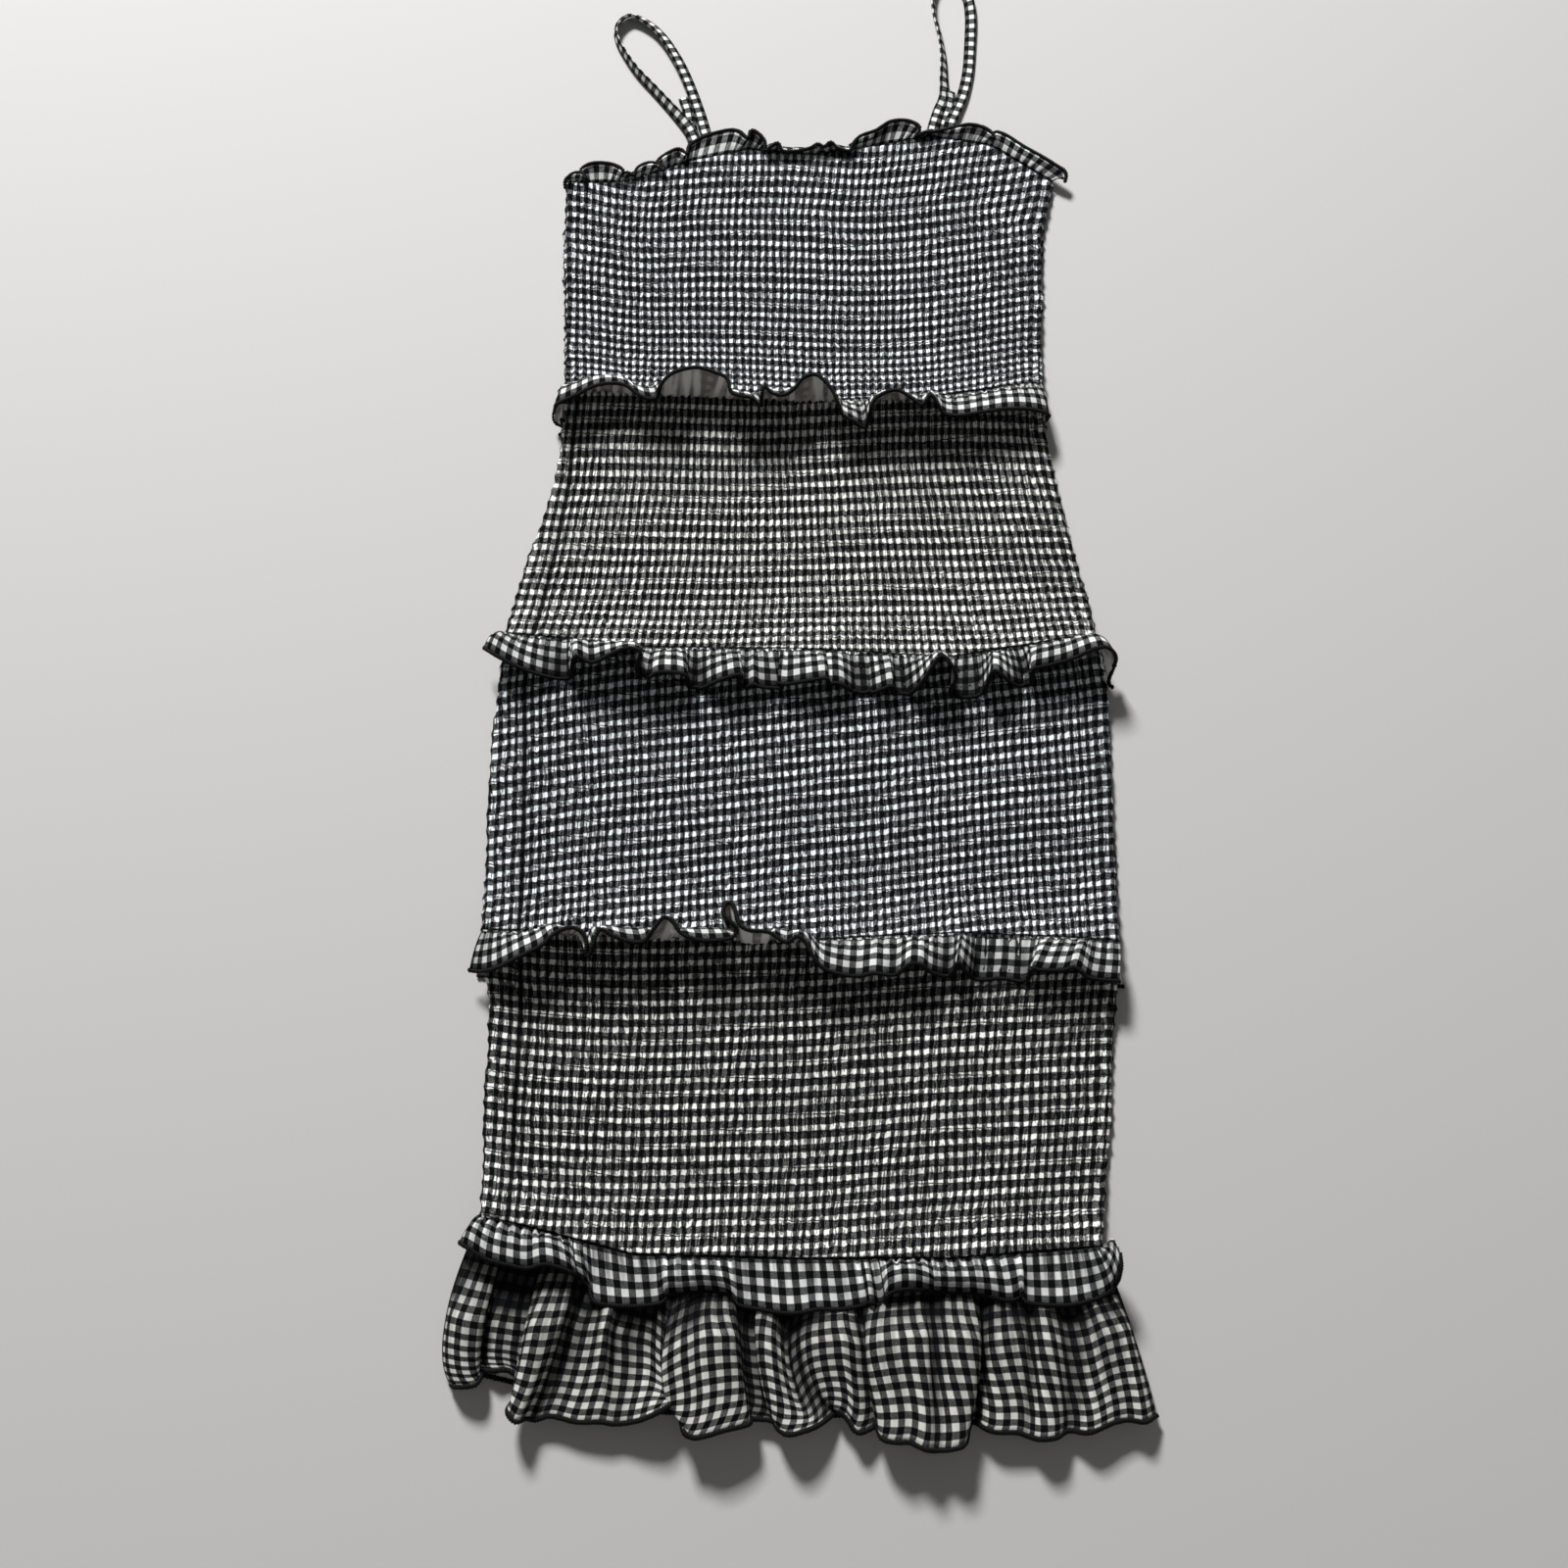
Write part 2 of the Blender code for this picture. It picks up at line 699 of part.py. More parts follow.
def build_dress():
    collection = bpy.data.collections.new("bodycon_dress")
    bpy.context.scene.collection.children.link(collection)

    for tier in TIERS:
        front = [front_section(tier, *station) for station in row_stations(ROWS)]
        back = [back_section(tier, *station) for station in row_stations(ROWS // 2)]
        add_loft(tier + "_front", front, "shirred", collection)
        add_loft(tier + "_back", back, "shirred", collection)

    def higher_of(upper, lower, seam):
        def top(x, y):
            left, right = tube_edges(seam)
            across = min(max((x - left) / (right - left), 0.0), 1.0)
            tier = upper if y > seam_y(seam, across) else lower
            return tier_top(tier, x, y)

        return top

    def over_flounce(x, y):
        left, right = tube_edges("hem")
        across = min(max((x - left) / (right - left), 0.0), 1.0)
        distance = max(seam_y("hem", across) - y, 0.0)
        if x < left - 8 or x > right + 8:
            return 0.0
        hollow = between(column(BELOW_SEAM, 0), column(BELOW_SEAM, 2), distance)
        return flounce_lift(distance) + BACK_WAVE_HEIGHT + 2 * FRILL_WALL + SEAM_GAP + hollow + 0.6

    frills = {
        "waist": (WAIST_FRILL, higher_of("bodice", "waist_tier", "waist")),
        "hip": (HIP_FRILL, higher_of("waist_tier", "hip_tier", "hip")),
        "thigh": (THIGH_FRILL, higher_of("hip_tier", "thigh_tier", "thigh")),
        "hem": (HEM_FRILL, over_flounce),
    }
    for seam, (folds, clear_of) in frills.items():
        surface = frill_surface(folds, seam, clear_of)
        add_cloth(seam + "_frill_front", surface, 2 * len(folds) - 2, FRILL_STEPS, collection)
        add_cloth(seam + "_frill_back", back_frill_surface(seam), 2 * BACK_WAVES, BACK_STEPS, collection)

    neck_columns = 2 * len(NECK_FRILL) - 2
    add_cloth("neck_frill_front", neck_frill_surface, neck_columns, NECK_FRILL_STEPS, collection)
    add_cloth("neck_frill_back", back_neck_frill_surface, len(SEAMS["neck"]) - 1, 1, collection)
    add_cloth("flounce_front", flounce_surface, 2 * len(FLOUNCE) - 2, FLOUNCE_STEPS, collection)
    add_cloth("flounce_back", back_flounce_surface, 2 * BACK_WAVES, FRILL_STEPS, collection)

    add_loft("strap_left", strap_sections(LEFT_STRAP), "strap", collection)
    add_loft("strap_right", strap_sections(RIGHT_STRAP), "strap", collection)


remove_startup_objects()
build_dress()
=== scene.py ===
"""The looks of a shirred gingham bodycon dress, laid flat on its back.

Every panel, frill, flounce and strap is a thin shell of cloth on the form of its solid, with the
gathers of the shirring, its rows of elastic, and overlocked edges. Sizes are millimetres until a
mesh is made. In the tables x runs to the right and y to the neckline, from a datum on the thigh
tier, and z rises from the surface that the dress lies on.
"""

import math
from functools import partial

import bmesh
import bpy
import numpy as np
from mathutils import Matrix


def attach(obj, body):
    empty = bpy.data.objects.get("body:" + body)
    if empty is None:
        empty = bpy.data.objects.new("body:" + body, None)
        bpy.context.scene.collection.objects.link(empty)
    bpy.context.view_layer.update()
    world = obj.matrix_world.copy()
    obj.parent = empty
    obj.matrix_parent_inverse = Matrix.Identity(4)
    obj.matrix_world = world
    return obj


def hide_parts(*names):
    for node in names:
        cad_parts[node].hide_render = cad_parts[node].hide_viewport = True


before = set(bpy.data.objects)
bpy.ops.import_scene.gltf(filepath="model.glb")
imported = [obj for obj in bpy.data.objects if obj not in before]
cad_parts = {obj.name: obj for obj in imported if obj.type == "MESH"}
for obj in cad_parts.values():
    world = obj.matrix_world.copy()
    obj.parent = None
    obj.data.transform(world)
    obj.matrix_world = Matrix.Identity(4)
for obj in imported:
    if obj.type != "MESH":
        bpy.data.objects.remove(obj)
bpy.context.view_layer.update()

MM = 0.001
# The middle of the dress's box, measured from the tables' datum.
BOX_MIDDLE = (7.0, 386.0)

# How thick a shirred panel is with its puffs, a frill with its ripples, and the cloth by itself.
SHIRRED_WALL = 2.2
FRILL_WALL = 1.2
CLOTH_WALL = 0.5
SEAM_GAP = 0.3
# How near the back's underside comes to the floor.
FLOOR_CLEARANCE = 0.05

# One repeat of the gingham, a dark stripe and a white one, across and down the cloth.
REPEAT_ACROSS = 7.5
REPEAT_DOWN = 7.2

# The rows of elastic in a tier, the rise of the puffs between them and that of the gathers.
ROWS = 18
ROW_RIDGE = 0.9
GATHER_HEIGHT = 0.95
# The share of a puff that lies under the panel's plain surface, and how far the highest gather
# rises over it, in gather heights.
PUFF_UNDER = 0.35
HIGHEST_GATHER = 1.3
# The gathers' mean strength, and the least at a seam.
MEAN_STRENGTH = 0.95
SEAM_STRENGTH = 0.4
# How round the gathers' tops are, up to 1. Less is flatter.
GATHER_ROUNDNESS = 0.7
ELASTIC_LIFT = 0.2
# The dip at a side seam: its depth, how narrow it is, and how dark its painted shade is.
SIDE_SEAM_DIP = 1.2
SIDE_SEAM_NARROW = 2.5
SIDE_SEAM_DARK = 5
# Painted shade in the shirring's creases: how dark it is on the plain surface, for each gather
# height below it, and in the grooves of the elastic.
PANEL_CREASE_SHADE = (0.15, 0.7, 0.25)

# The unevenness of the shirring. Columns: its size, and how often it changes in a repeat of
# gingham across and in a row of elastic down. The sizes are gather heights for the strength,
# repeats for the shift, millimetres for the lumps and shares of the wander for the drifts.
UNEVEN_STRENGTH = (0.4, 0.9, 0.8)
UNEVEN_SHIFT = (0.35, 0.3, 0.5)
UNEVEN_LUMPS = (0.5, 0.12, 0.3)
SLOW_DRIFT = (0.7, 0.25, 0.22)
QUICK_DRIFT = (0.5, 0.8, 0.7)
# How far the gathers wander sideways, and how near a side seam they stop, in repeats.
GATHER_WANDER = 0.22
WANDER_MARGIN = 1.5
# The cells in each direction before a random surface repeats itself.
NOISE_CELLS = 64

# A front panel's turn into a side fold: how far it reaches across and how much cloth it takes.
RIGHT_TURN = (9.0, 10.5)
BODICE_LEFT_TURN = (5.0, 6.5)
# The back panel: how much of it turns up at the right fold and how far under its top it stops
# there, its folds' radius, and the cloth in its left fold as a share of a round one's.
BACK_START = 2.5
BACK_START_GAP = 0.2
BACK_FOLD = 3.0
BACK_FOLD_SHARE = 0.95

# The frills and the flounce, and how far past its seam each starts.
FRILL_DEPTH = 24.0
NECK_FRILL_DEPTH = 11.0
FLOUNCE_DEPTH = 92.0
FRILL_START = 0.9
NECK_FRILL_START = 2.1
# How far a frill stops short of the side folds.
FRILL_INSET = 1.0
# The nearer its edge is to its seam than this, up or down the dress, the more a frill bulges
# straight up.
LEAN_REACH = 6.0
# How far down a tier the side folds are read for the frill that lies on it, as a share, and how
# far that frill is kept above the ridges.
FRILL_PLACE = 0.1
FRILL_CLEARANCE = 0.1
# The hem frill's height over the flounce, and how far past the tube it still counts as over it.
FLOUNCE_CLEARANCE = 0.6
FLOUNCE_SPREAD = 8.0
# The neck frill's cloth is at most its reach times the first, and the second more.
NECK_FRILL_SLACK = (1.2, 1.0)
# The overlocked edges of the frills. The flounce's is a little thicker.
MERROW_WIDTH = 3.3
MERROW_HEIGHT = 2.7
FLOUNCE_MERROW = 1.15

STRAP_WIDTH = 7.5
STRAP_THICK = 2.4
STRAP_END_THICK = 1.4
# How round a strap's section is. At 1 it is an ellipse, and less is boxier.
STRAP_ROUNDNESS = 0.7

# Faces to a repeat across the shirring, and to a row of elastic down it.
FACES_A_REPEAT = {"front": 5, "back": 3}
FACES_A_ROW = {"front": 4, "back": 3}
# Points across and down the gathered pieces, and places tried along an edge to space them evenly.
FRILL_GRID = (420, 11)
NECK_FRILL_GRID = (420, 9)
FLOUNCE_GRID = (440, 25)
BACK_FRILL_GRID = (200, 5)
BACK_FLOUNCE_GRID = (200, 9)
EDGE_SAMPLES = 4001
# Steps down or across a tier in which its checks are counted.
CHECK_STEPS = 100
# The distance between rings of points along a strap, the points in a ring, and one repeat of its
# gingham.
STRAP_STATION = 1.7
STRAP_SIDES = 16
STRAP_REPEAT = 7.0

# Each seam's y at even places across the tube, from its left fold to its right.
SEAMS = {
    "neck": (679, 680, 695, 704, 700, 706, 714, 707, 679),
    "waist": (527, 523, 519, 521, 532),
    "hip": (369, 360, 359, 354, 368),
    "thigh": (195, 191, 189, 193, 189),
    "hem": (44, 24, 22, 22, 28),
}

# Each tier: the seams that it hangs between, its repeats of gingham across the front and the back,
# the size of a repeat down it at even places, how many degrees its rows of checks run downhill to
# the right at even places across the top and across the bottom, and its sections from top to
# bottom. Columns: place down the tier (0 to 1), the left fold, the side seam that has swung round
# onto the front, and the right fold.
TIERS = {
    "bodice": {
        "seams": ("neck", "waist"),
        "repeats": {"front": 64, "back": 64},
        "repeat_down": (8.0, 8.1, 7.4, 6.4, 5.6),
        "downhill": (
            (14, 14, -7, -3, 0, 6, -5, -10, -6, -16),
            (2, 9, 2, 4, 4, 2, -1, -9, -16, -5),
        ),
        "sections": [
            (0.00, -139, -138, 171),
            (0.25, -139, -138, 162),
            (0.60, -137, -136, 160),
            (1.00, -134, -133, 157),
        ],
    },
    "waist_tier": {
        "seams": ("waist", "hip"),
        "repeats": {"front": 67, "back": 71},
        "repeat_down": (8.0, 8.0, 7.6, 7.0, 6.1),
        "downhill": (
            (0, 0, 1, 3, 1, -4, -6, -3, -2, 3, 8),
            (1, -1, 0, -1, -3, -2, 0, 0, 1, -4, -2),
        ),
        "sections": [
            (0.00, -134, -124, 157),
            (0.20, -134, -127, 158),
            (0.37, -138, -129, 163),
            (0.60, -148, -134, 170),
            (0.78, -156, -139, 176),
            (1.00, -162, -145, 181),
        ],
    },
    "hip_tier": {
        "seams": ("hip", "thigh"),
        "repeats": {"front": 71, "back": 79},
        "repeat_down": (7.3, 7.2, 7.0, 6.7, 6.4),
        "downhill": (
            (-12, -11, -8, -7, -8, -8, -8, -9, -8, -14),
            (-13, -11, -6, -8, -9, -6, -11, -8, -4, -10),
        ),
        "sections": [
            (0.00, -162, -147, 181),
            (0.20, -165, -149, 186),
            (0.50, -168, -147, 186),
            (1.00, -166, -145, 184),
        ],
    },
    "thigh_tier": {
        "seams": ("thigh", "hem"),
        "repeats": {"front": 65, "back": 71},
        "repeat_down": (6.9, 7.0, 7.0, 6.8, 6.6),
        "downhill": (
            (10, 4, 0, -3, -2, -5, -6, -3, -4, -3),
            (10, 2, 0, -2, -1, -5, -5, -4, -3, -5),
        ),
        "sections": [
            (0.00, -166, -144, 184),
            (0.25, -161, -143, 179),
            (0.60, -160, -144, 174),
            (1.00, -159, -144, 166),
        ],
    },
}

# How the panels rise to a seam, where frills and seam allowances lie under and between them.
# Columns: distance from the seam, lift of the back panel, hollow between back and front.
ABOVE_SEAM = [(0, 5.5, 4.0), (8, 4.0, 3.2), (20, 1.6, 1.6), (38, 0.0, 0.5), (70, 0.0, 0.0)]
BELOW_SEAM = [(0, 5.5, 4.0), (12, 5.0, 2.6), (27, 4.2, 1.0), (42, 1.4, 0.2), (58, 0.0, 0.0)]

# The folds of each front frill, from left to right, as they lie in the picture, which is 1600 px
# wide and high. Columns: the edge's place across and down the picture, the place across where that
# fold is sewn on, and how many millimetres the edge is from there, straight through the air.
WAIST_FRILL = [
    (577, 436, 574, 12),
    (566, 430, 575, 12),
    (567, 414, 577, 18),
    (575, 409, 581, 19),
    (590, 402, 592, 18),
    (606, 394, 605, 17),
    (622, 391, 619, 17),
    (638, 393, 633, 18),
    (652, 403, 646, 20),
    (663, 407, 656, 20),
    (671, 405, 662, 20),
    (674, 393, 669, 23.3),
    (684, 382, 682, 23.6),
    (700, 376, 697, 23.8),
    (714, 375, 709, 23.8),
    (730, 380, 723, 23.7),
    (742, 386, 733, 23.4),
    (746, 400, 744, 22.5),
    (757, 404, 753, 22.5),
    (767, 406, 760, 22.5),
    (776, 414, 767, 21),
    (777, 404, 774, 22.5),
    (780, 394, 780, 23.5),
    (788, 401, 786, 22),
    (800, 403, 796, 21),
    (811, 396, 807, 22),
    (819, 386, 816, 23.3),
    (832, 382, 829, 23.7),
    (844, 391, 842, 23.4),
    (853, 405, 852, 22.6),
    (859, 422, 858, 23),
    (870, 429, 865, 23.3),
    (882, 436, 876, 23),
    (887, 427, 881, 22.6),
    (890, 412, 887, 22.6),
    (900, 402, 897, 23.2),
    (916, 398, 913, 23.5),
    (930, 406, 927, 23),
    (941, 413, 938, 22.5),
    (950, 403, 946, 22.5),
    (957, 413, 954, 22.5),
    (964, 422, 961, 23),
    (980, 424, 976, 23.3),
    (1005, 420, 1001, 23),
    (1030, 417, 1025, 22.6),
    (1055, 418, 1047, 22.6),
    (1070, 423, 1059, 22),
    (1066, 430, 1063, 20),
]
HIP_FRILL = [
    (494, 661, 513, 14),
    (510, 671, 521, 20),
    (530, 681, 536, 22.6),
    (553, 689, 556, 23.2),
    (576, 693, 576, 22.8),
    (583, 689, 581, 22),
    (584, 678, 584, 21),
    (588, 669, 588, 21),
    (604, 676, 602, 20),
    (624, 667, 622, 22),
    (640, 661, 637, 22.8),
    (653, 664, 648, 22.6),
    (652, 674, 652, 21.5),
    (650, 685, 656, 21.5),
    (661, 691, 666, 22.6),
    (672, 686, 675, 22),
    (695, 687, 693, 22),
    (702, 693, 699, 22),
    (702, 700, 704, 22.6),
    (714, 703, 713, 23),
    (732, 695, 731, 22.6),
    (756, 688, 751, 22),
    (754, 697, 756, 22.6),
    (762, 701, 762, 23),
    (769, 698, 769, 22.6),
    (777, 701, 776, 23),
    (798, 702, 793, 23),
    (793, 697, 798, 22.4),
    (804, 698, 805, 22.6),
    (842, 692, 838, 22),
    (845, 697, 844, 22.4),
    (858, 698, 856, 22.6),
    (878, 710, 875, 23.2),
    (896, 705, 892, 22.8),
    (911, 700, 906, 22.4),
    (912, 709, 911, 23),
    (924, 710, 921, 23),
    (940, 698, 936, 22.6),
    (957, 672, 953, 22.6),
    (966, 672, 960, 22.6),
    (976, 690, 968, 22.8),
    (970, 705, 973, 23),
    (974, 714, 978, 23.3),
    (997, 713, 995, 23.3),
    (1008, 698, 1007, 22.6),
    (1015, 684, 1015, 22),
    (1034, 698, 1029, 22.4),
    (1050, 700, 1041, 22.4),
    (1053, 690, 1049, 21.5),
    (1053, 683, 1055, 20),
    (1070, 679, 1069, 19),
    (1092, 673, 1086, 19.5),
    (1118, 662, 1105, 20.5),
    (1131, 661, 1112, 21.5),
    (1139, 672, 1116, 21),
    (1131, 695, 1119, 21),
    (1135, 701, 1121, 21),
]
THIGH_FRILL = [
    (479, 990, 497, 22),
    (492, 991, 503, 22.5),
    (508, 987, 513, 22.5),
    (530, 976, 531, 21.6),
    (552, 965, 549, 20),
    (564, 954, 559, 20),
    (578, 947, 570, 21),
    (590, 948, 579, 21.5),
    (598, 958, 586, 21.5),
    (598, 975, 591, 22),
    (603, 971, 597, 22),
    (607, 957, 602, 21.5),
    (613, 948, 608, 21),
    (626, 955, 619, 19),
    (644, 961, 637, 18),
    (658, 960, 650, 18.5),
    (666, 949, 660, 21.5),
    (677, 936, 669, 23.3),
    (687, 941, 677, 22.8),
    (695, 952, 685, 20.5),
    (708, 958, 698, 19),
    (724, 960, 715, 18),
    (746, 957, 731, 18.5),
    (751, 947, 737, 20),
    (738, 932, 741, 23),
    (742, 921, 745, 23.8),
    (749, 925, 749, 23.6),
    (754, 942, 754, 22.4),
    (764, 949, 763, 20.5),
    (784, 951, 780, 20),
    (800, 961, 796, 19),
    (808, 959, 804, 20),
    (814, 955, 810, 21),
    (822, 961, 817, 20),
    (829, 975, 826, 21),
    (840, 988, 837, 22.6),
    (858, 994, 855, 23),
    (876, 996, 872, 23.2),
    (892, 993, 887, 22.8),
    (908, 995, 902, 22.8),
    (917, 993, 911, 22.6),
    (928, 984, 922, 22),
    (939, 984, 932, 22),
    (950, 992, 943, 22.4),
    (967, 996, 959, 22.8),
    (975, 990, 968, 22.4),
    (977, 982, 973, 22),
    (984, 990, 979, 22.4),
    (997, 1000, 991, 23),
    (1022, 999, 1015, 22.6),
    (1042, 1002, 1033, 23),
    (1050, 997, 1046, 22.4),
    (1052, 990, 1051, 22),
    (1054, 988, 1056, 21.5),
    (1064, 990, 1065, 22),
    (1085, 990, 1082, 22),
    (1097, 987, 1093, 21.5),
    (1110, 997, 1103, 22.6),
    (1126, 1000, 1116, 22.8),
    (1142, 1001, 1128, 22.6),
]
HEM_FRILL = [
    (469, 1268, 489, 16),
    (480, 1275, 493, 19),
    (497, 1285, 505, 21),
    (520, 1291, 523, 21.5),
    (538, 1294, 539, 21),
    (556, 1290, 554, 19.5),
    (576, 1295, 572, 18.5),
    (592, 1304, 586, 18.5),
    (601, 1312, 594, 19.5),
    (603, 1323, 599, 21),
    (610, 1330, 606, 22),
    (640, 1333, 635, 22),
    (668, 1331, 663, 22),
    (678, 1327, 673, 21),
    (681, 1321, 679, 18),
    (700, 1319, 696, 15),
    (722, 1317, 716, 14.5),
    (742, 1320, 733, 16.5),
    (749, 1326, 743, 20),
    (755, 1332, 751, 22),
    (775, 1336, 770, 22),
    (802, 1340, 796, 22),
    (820, 1339, 813, 22),
    (834, 1336, 827, 21.5),
    (858, 1336, 849, 21.5),
    (880, 1332, 870, 21.5),
    (889, 1329, 880, 21.5),
    (899, 1332, 888, 22),
    (904, 1327, 895, 20.5),
    (909, 1319, 904, 17.5),
    (930, 1315, 925, 15.5),
    (960, 1318, 954, 15.5),
    (995, 1320, 986, 17),
    (1016, 1324, 1006, 19.5),
    (1028, 1327, 1017, 21),
    (1038, 1325, 1026, 20),
    (1043, 1320, 1034, 18.5),
    (1046, 1328, 1041, 21),
    (1060, 1331, 1054, 21.5),
    (1085, 1332, 1076, 22),
    (1106, 1329, 1094, 21.5),
    (1128, 1321, 1111, 21),
    (1140, 1308, 1118, 19),
    (1144, 1293, 1121, 16),
    (1143, 1280, 1122, 13.5),
]
# The neck frill's folds, in the same columns, but for the last: the edge's height over the seam.
NECK_FRILL = [
    (577, 191, 578, 3),
    (577, 184, 580, 5),
    (585, 177, 585, 5),
    (594, 177, 590, 6),
    (598, 183, 594, 7),
    (593, 174, 597, 4),
    (600, 168, 602, 5),
    (612, 166, 611, 5),
    (626, 168, 621, 6),
    (636, 174, 628, 7),
    (633, 179, 632, 5),
    (640, 176, 637, 6),
    (647, 179, 643, 5),
    (651, 171, 648, 6),
    (663, 166, 657, 6),
    (676, 169, 665, 7),
    (677, 174, 669, 8),
    (671, 165, 673, 5),
    (682, 156, 680, 6),
    (693, 152, 687, 6),
    (701, 157, 693, 7),
    (704, 148, 699, 5),
    (720, 139, 713, 5),
    (742, 133, 734, 5),
    (754, 134, 745, 6),
    (763, 141, 752, 8),
    (766, 134, 758, 8),
    (771, 134, 763, 9),
    (780, 143, 769, 9),
    (781, 154, 776, 8),
    (786, 150, 782, 8),
    (794, 146, 788, 9),
    (799, 154, 795, 7),
    (814, 154, 811, 7),
    (827, 151, 825, 7),
    (835, 147, 832, 9),
    (841, 150, 838, 8),
    (848, 145, 844, 9),
    (855, 151, 851, 7),
    (867, 154, 862, 7),
    (870, 148, 868, 7),
    (878, 139, 875, 7),
    (894, 133, 889, 7),
    (909, 124, 903, 7),
    (926, 123, 917, 7),
    (938, 129, 927, 8),
    (937, 138, 934, 6),
    (944, 135, 942, 7),
    (956, 134, 954, 7),
    (974, 130, 970, 6),
    (990, 127, 984, 6),
    (1006, 131, 997, 7),
    (1014, 139, 1005, 7),
    (1012, 143, 1009, 5),
    (1015, 135, 1013, 6),
    (1027, 138, 1022, 6),
    (1044, 149, 1036, 6),
    (1062, 159, 1050, 6),
    (1080, 170, 1065, 6),
    (1086, 174, 1069, 6),
    (1088, 179, 1071, 5),
    (1087, 185, 1072, 3.5),
]
# The flounce's folds, in the same picture. Columns: where the fold is sewn on, its middle's place
# across and down and its height over the back flounce, and its edge's place and height.
FLOUNCE = [
    (462, 455, 1350, 0, 460, 1413, 0),
    (468, 460, 1352, 6, 464, 1415, 4),
    (478, 474, 1356, 9, 475, 1415, 6),
    (488, 488, 1358, 8, 485, 1413, 6),
    (492, 494, 1358, 5, 490, 1406, 4),
    (495, 492, 1360, 1, 493, 1399, 1),
    (509, 507, 1362, 2, 504, 1399, 3),
    (524, 522, 1364, 1, 520, 1399, 2),
    (533, 536, 1366, 1, 533, 1414, 2),
    (541, 535, 1364, 7, 521, 1433, 5),
    (549, 543, 1362, 11, 518, 1442, 9),
    (562, 558, 1362, 11, 526, 1451, 10),
    (577, 570, 1360, 8, 537, 1447, 6),
    (588, 577, 1362, 2, 546, 1449, 3),
    (598, 590, 1366, 2, 562, 1445, 4),
    (608, 604, 1366, 5, 588, 1451, 5),
    (617, 618, 1364, 9, 612, 1451, 6),
    (628, 626, 1368, 3, 628, 1453, 5),
    (645, 646, 1372, 0, 650, 1450, 8),
    (660, 664, 1376, 1, 668, 1443, 10),
    (672, 678, 1388, 5, 684, 1434, 8),
    (680, 689, 1390, 2, 693, 1433, 3),
    (684, 676, 1394, 7, 695, 1448, 8),
    (690, 692, 1384, 10, 698, 1462, 11),
    (699, 706, 1378, 9, 706, 1467, 10),
    (708, 716, 1374, 12, 718, 1466, 12),
    (722, 733, 1372, 13, 738, 1460, 12),
    (737, 750, 1372, 11, 762, 1454, 9),
    (742, 755, 1376, 5, 766, 1449, 5),
    (750, 758, 1382, 1, 770, 1448, 2),
    (762, 772, 1386, 2, 788, 1450, 3),
    (767, 775, 1384, 8, 794, 1458, 7),
    (774, 786, 1386, 10, 803, 1464, 10),
    (784, 797, 1392, 6, 816, 1462, 10),
    (792, 806, 1400, 3, 836, 1454, 6),
    (804, 812, 1392, 0, 852, 1441, 1),
    (822, 828, 1380, 6, 855, 1440, 4),
    (848, 858, 1376, 10, 864, 1447, 5),
    (864, 872, 1380, 9, 875, 1462, 6),
    (874, 888, 1382, 2, 892, 1456, 3),
    (880, 885, 1382, 5, 894, 1454, 5),
    (884, 886, 1380, 11, 900, 1468, 9),
    (903, 908, 1376, 14, 914, 1472, 12),
    (920, 928, 1374, 13, 928, 1472, 11),
    (938, 945, 1374, 14, 944, 1479, 13),
    (949, 954, 1374, 7, 958, 1480, 9),
    (970, 972, 1374, 13, 972, 1479, 12),
    (990, 997, 1376, 11, 984, 1474, 10),
    (998, 1000, 1380, 3, 988, 1458, 3),
    (1006, 1003, 1378, 2, 993, 1451, 3),
    (1022, 1018, 1376, 7, 1013, 1461, 6),
    (1044, 1041, 1374, 6, 1038, 1462, 6),
    (1050, 1052, 1376, 3, 1050, 1466, 5),
    (1062, 1064, 1376, 9, 1062, 1469, 9),
    (1075, 1077, 1378, 8, 1078, 1467, 8),
    (1088, 1092, 1382, 2, 1090, 1460, 3),
    (1104, 1112, 1380, 6, 1112, 1462, 7),
    (1119, 1128, 1372, 9, 1136, 1452, 6),
    (1130, 1142, 1368, 7, 1152, 1449, 5),
    (1136, 1151, 1366, 8, 1168, 1451, 6),
    (1141, 1158, 1366, 1, 1180, 1444, 1),
]

# A place counts as deep when it lies this far below the mean of the cloth around it, up to this
# part of the width away, a 22nd.
RECESS_DEPTH = 4.2
RECESS_PART = 22
# The flounce is darkened down to this share of its depth, where the hem frill shades it.
SHADE_END = 0.46
SHADE_FADE = 0.13
# How dark the flounce's own recesses are, as a share of the shade under the frill.
RECESS_SHADE = 0.78
# The least shade under the frill, on the crest of a fold.
CREST_SHADE = 0.4
# How much fuller the folds are than they look from above.
FLOUNCE_FULLNESS = 1.45
# The share of the flounce's depth in which a fold rises from the seam to its full height.
FLOUNCE_SHOULDER = 0.45
# How much of each depth is taken up by its folds.
FLOUNCE_TAKEN_UP = 10.0
BACK_FLOUNCE_TAKEN_UP = 16.0
BACK_FRILL_TAKEN_UP = 2.0

# The gathers at a frill's seam, the last only as lines of painted shade. Columns: how many there
# are in a repeat, how far they drift, and how often the drift changes in a repeat.
MAIN_GATHERS = (1.1, 0.8, 0.35)
FINE_GATHERS = (1.9, 0.6, 0.5)
SHADE_LINE_GATHERS = (1.6, 0.9, 0.6)
# The main and the fine gathers' shares of the height, and how fast they fade down the cloth.
GATHER_SHARES = (0.6, 0.4)
GATHER_FADE = 1.3
# Painted shade in a frill's creases: how dark it is on average, and how much darker in the valleys
# of its main gathers and of its lines of painted shade.
FRILL_CREASE_SHADE = (0.55, 0.5, 0.45)
# The shade along a seam: how far down the cloth it reaches, and how dark it is.
SEAM_SHADE_REACH = 0.12
SEAM_SHADE = 0.3
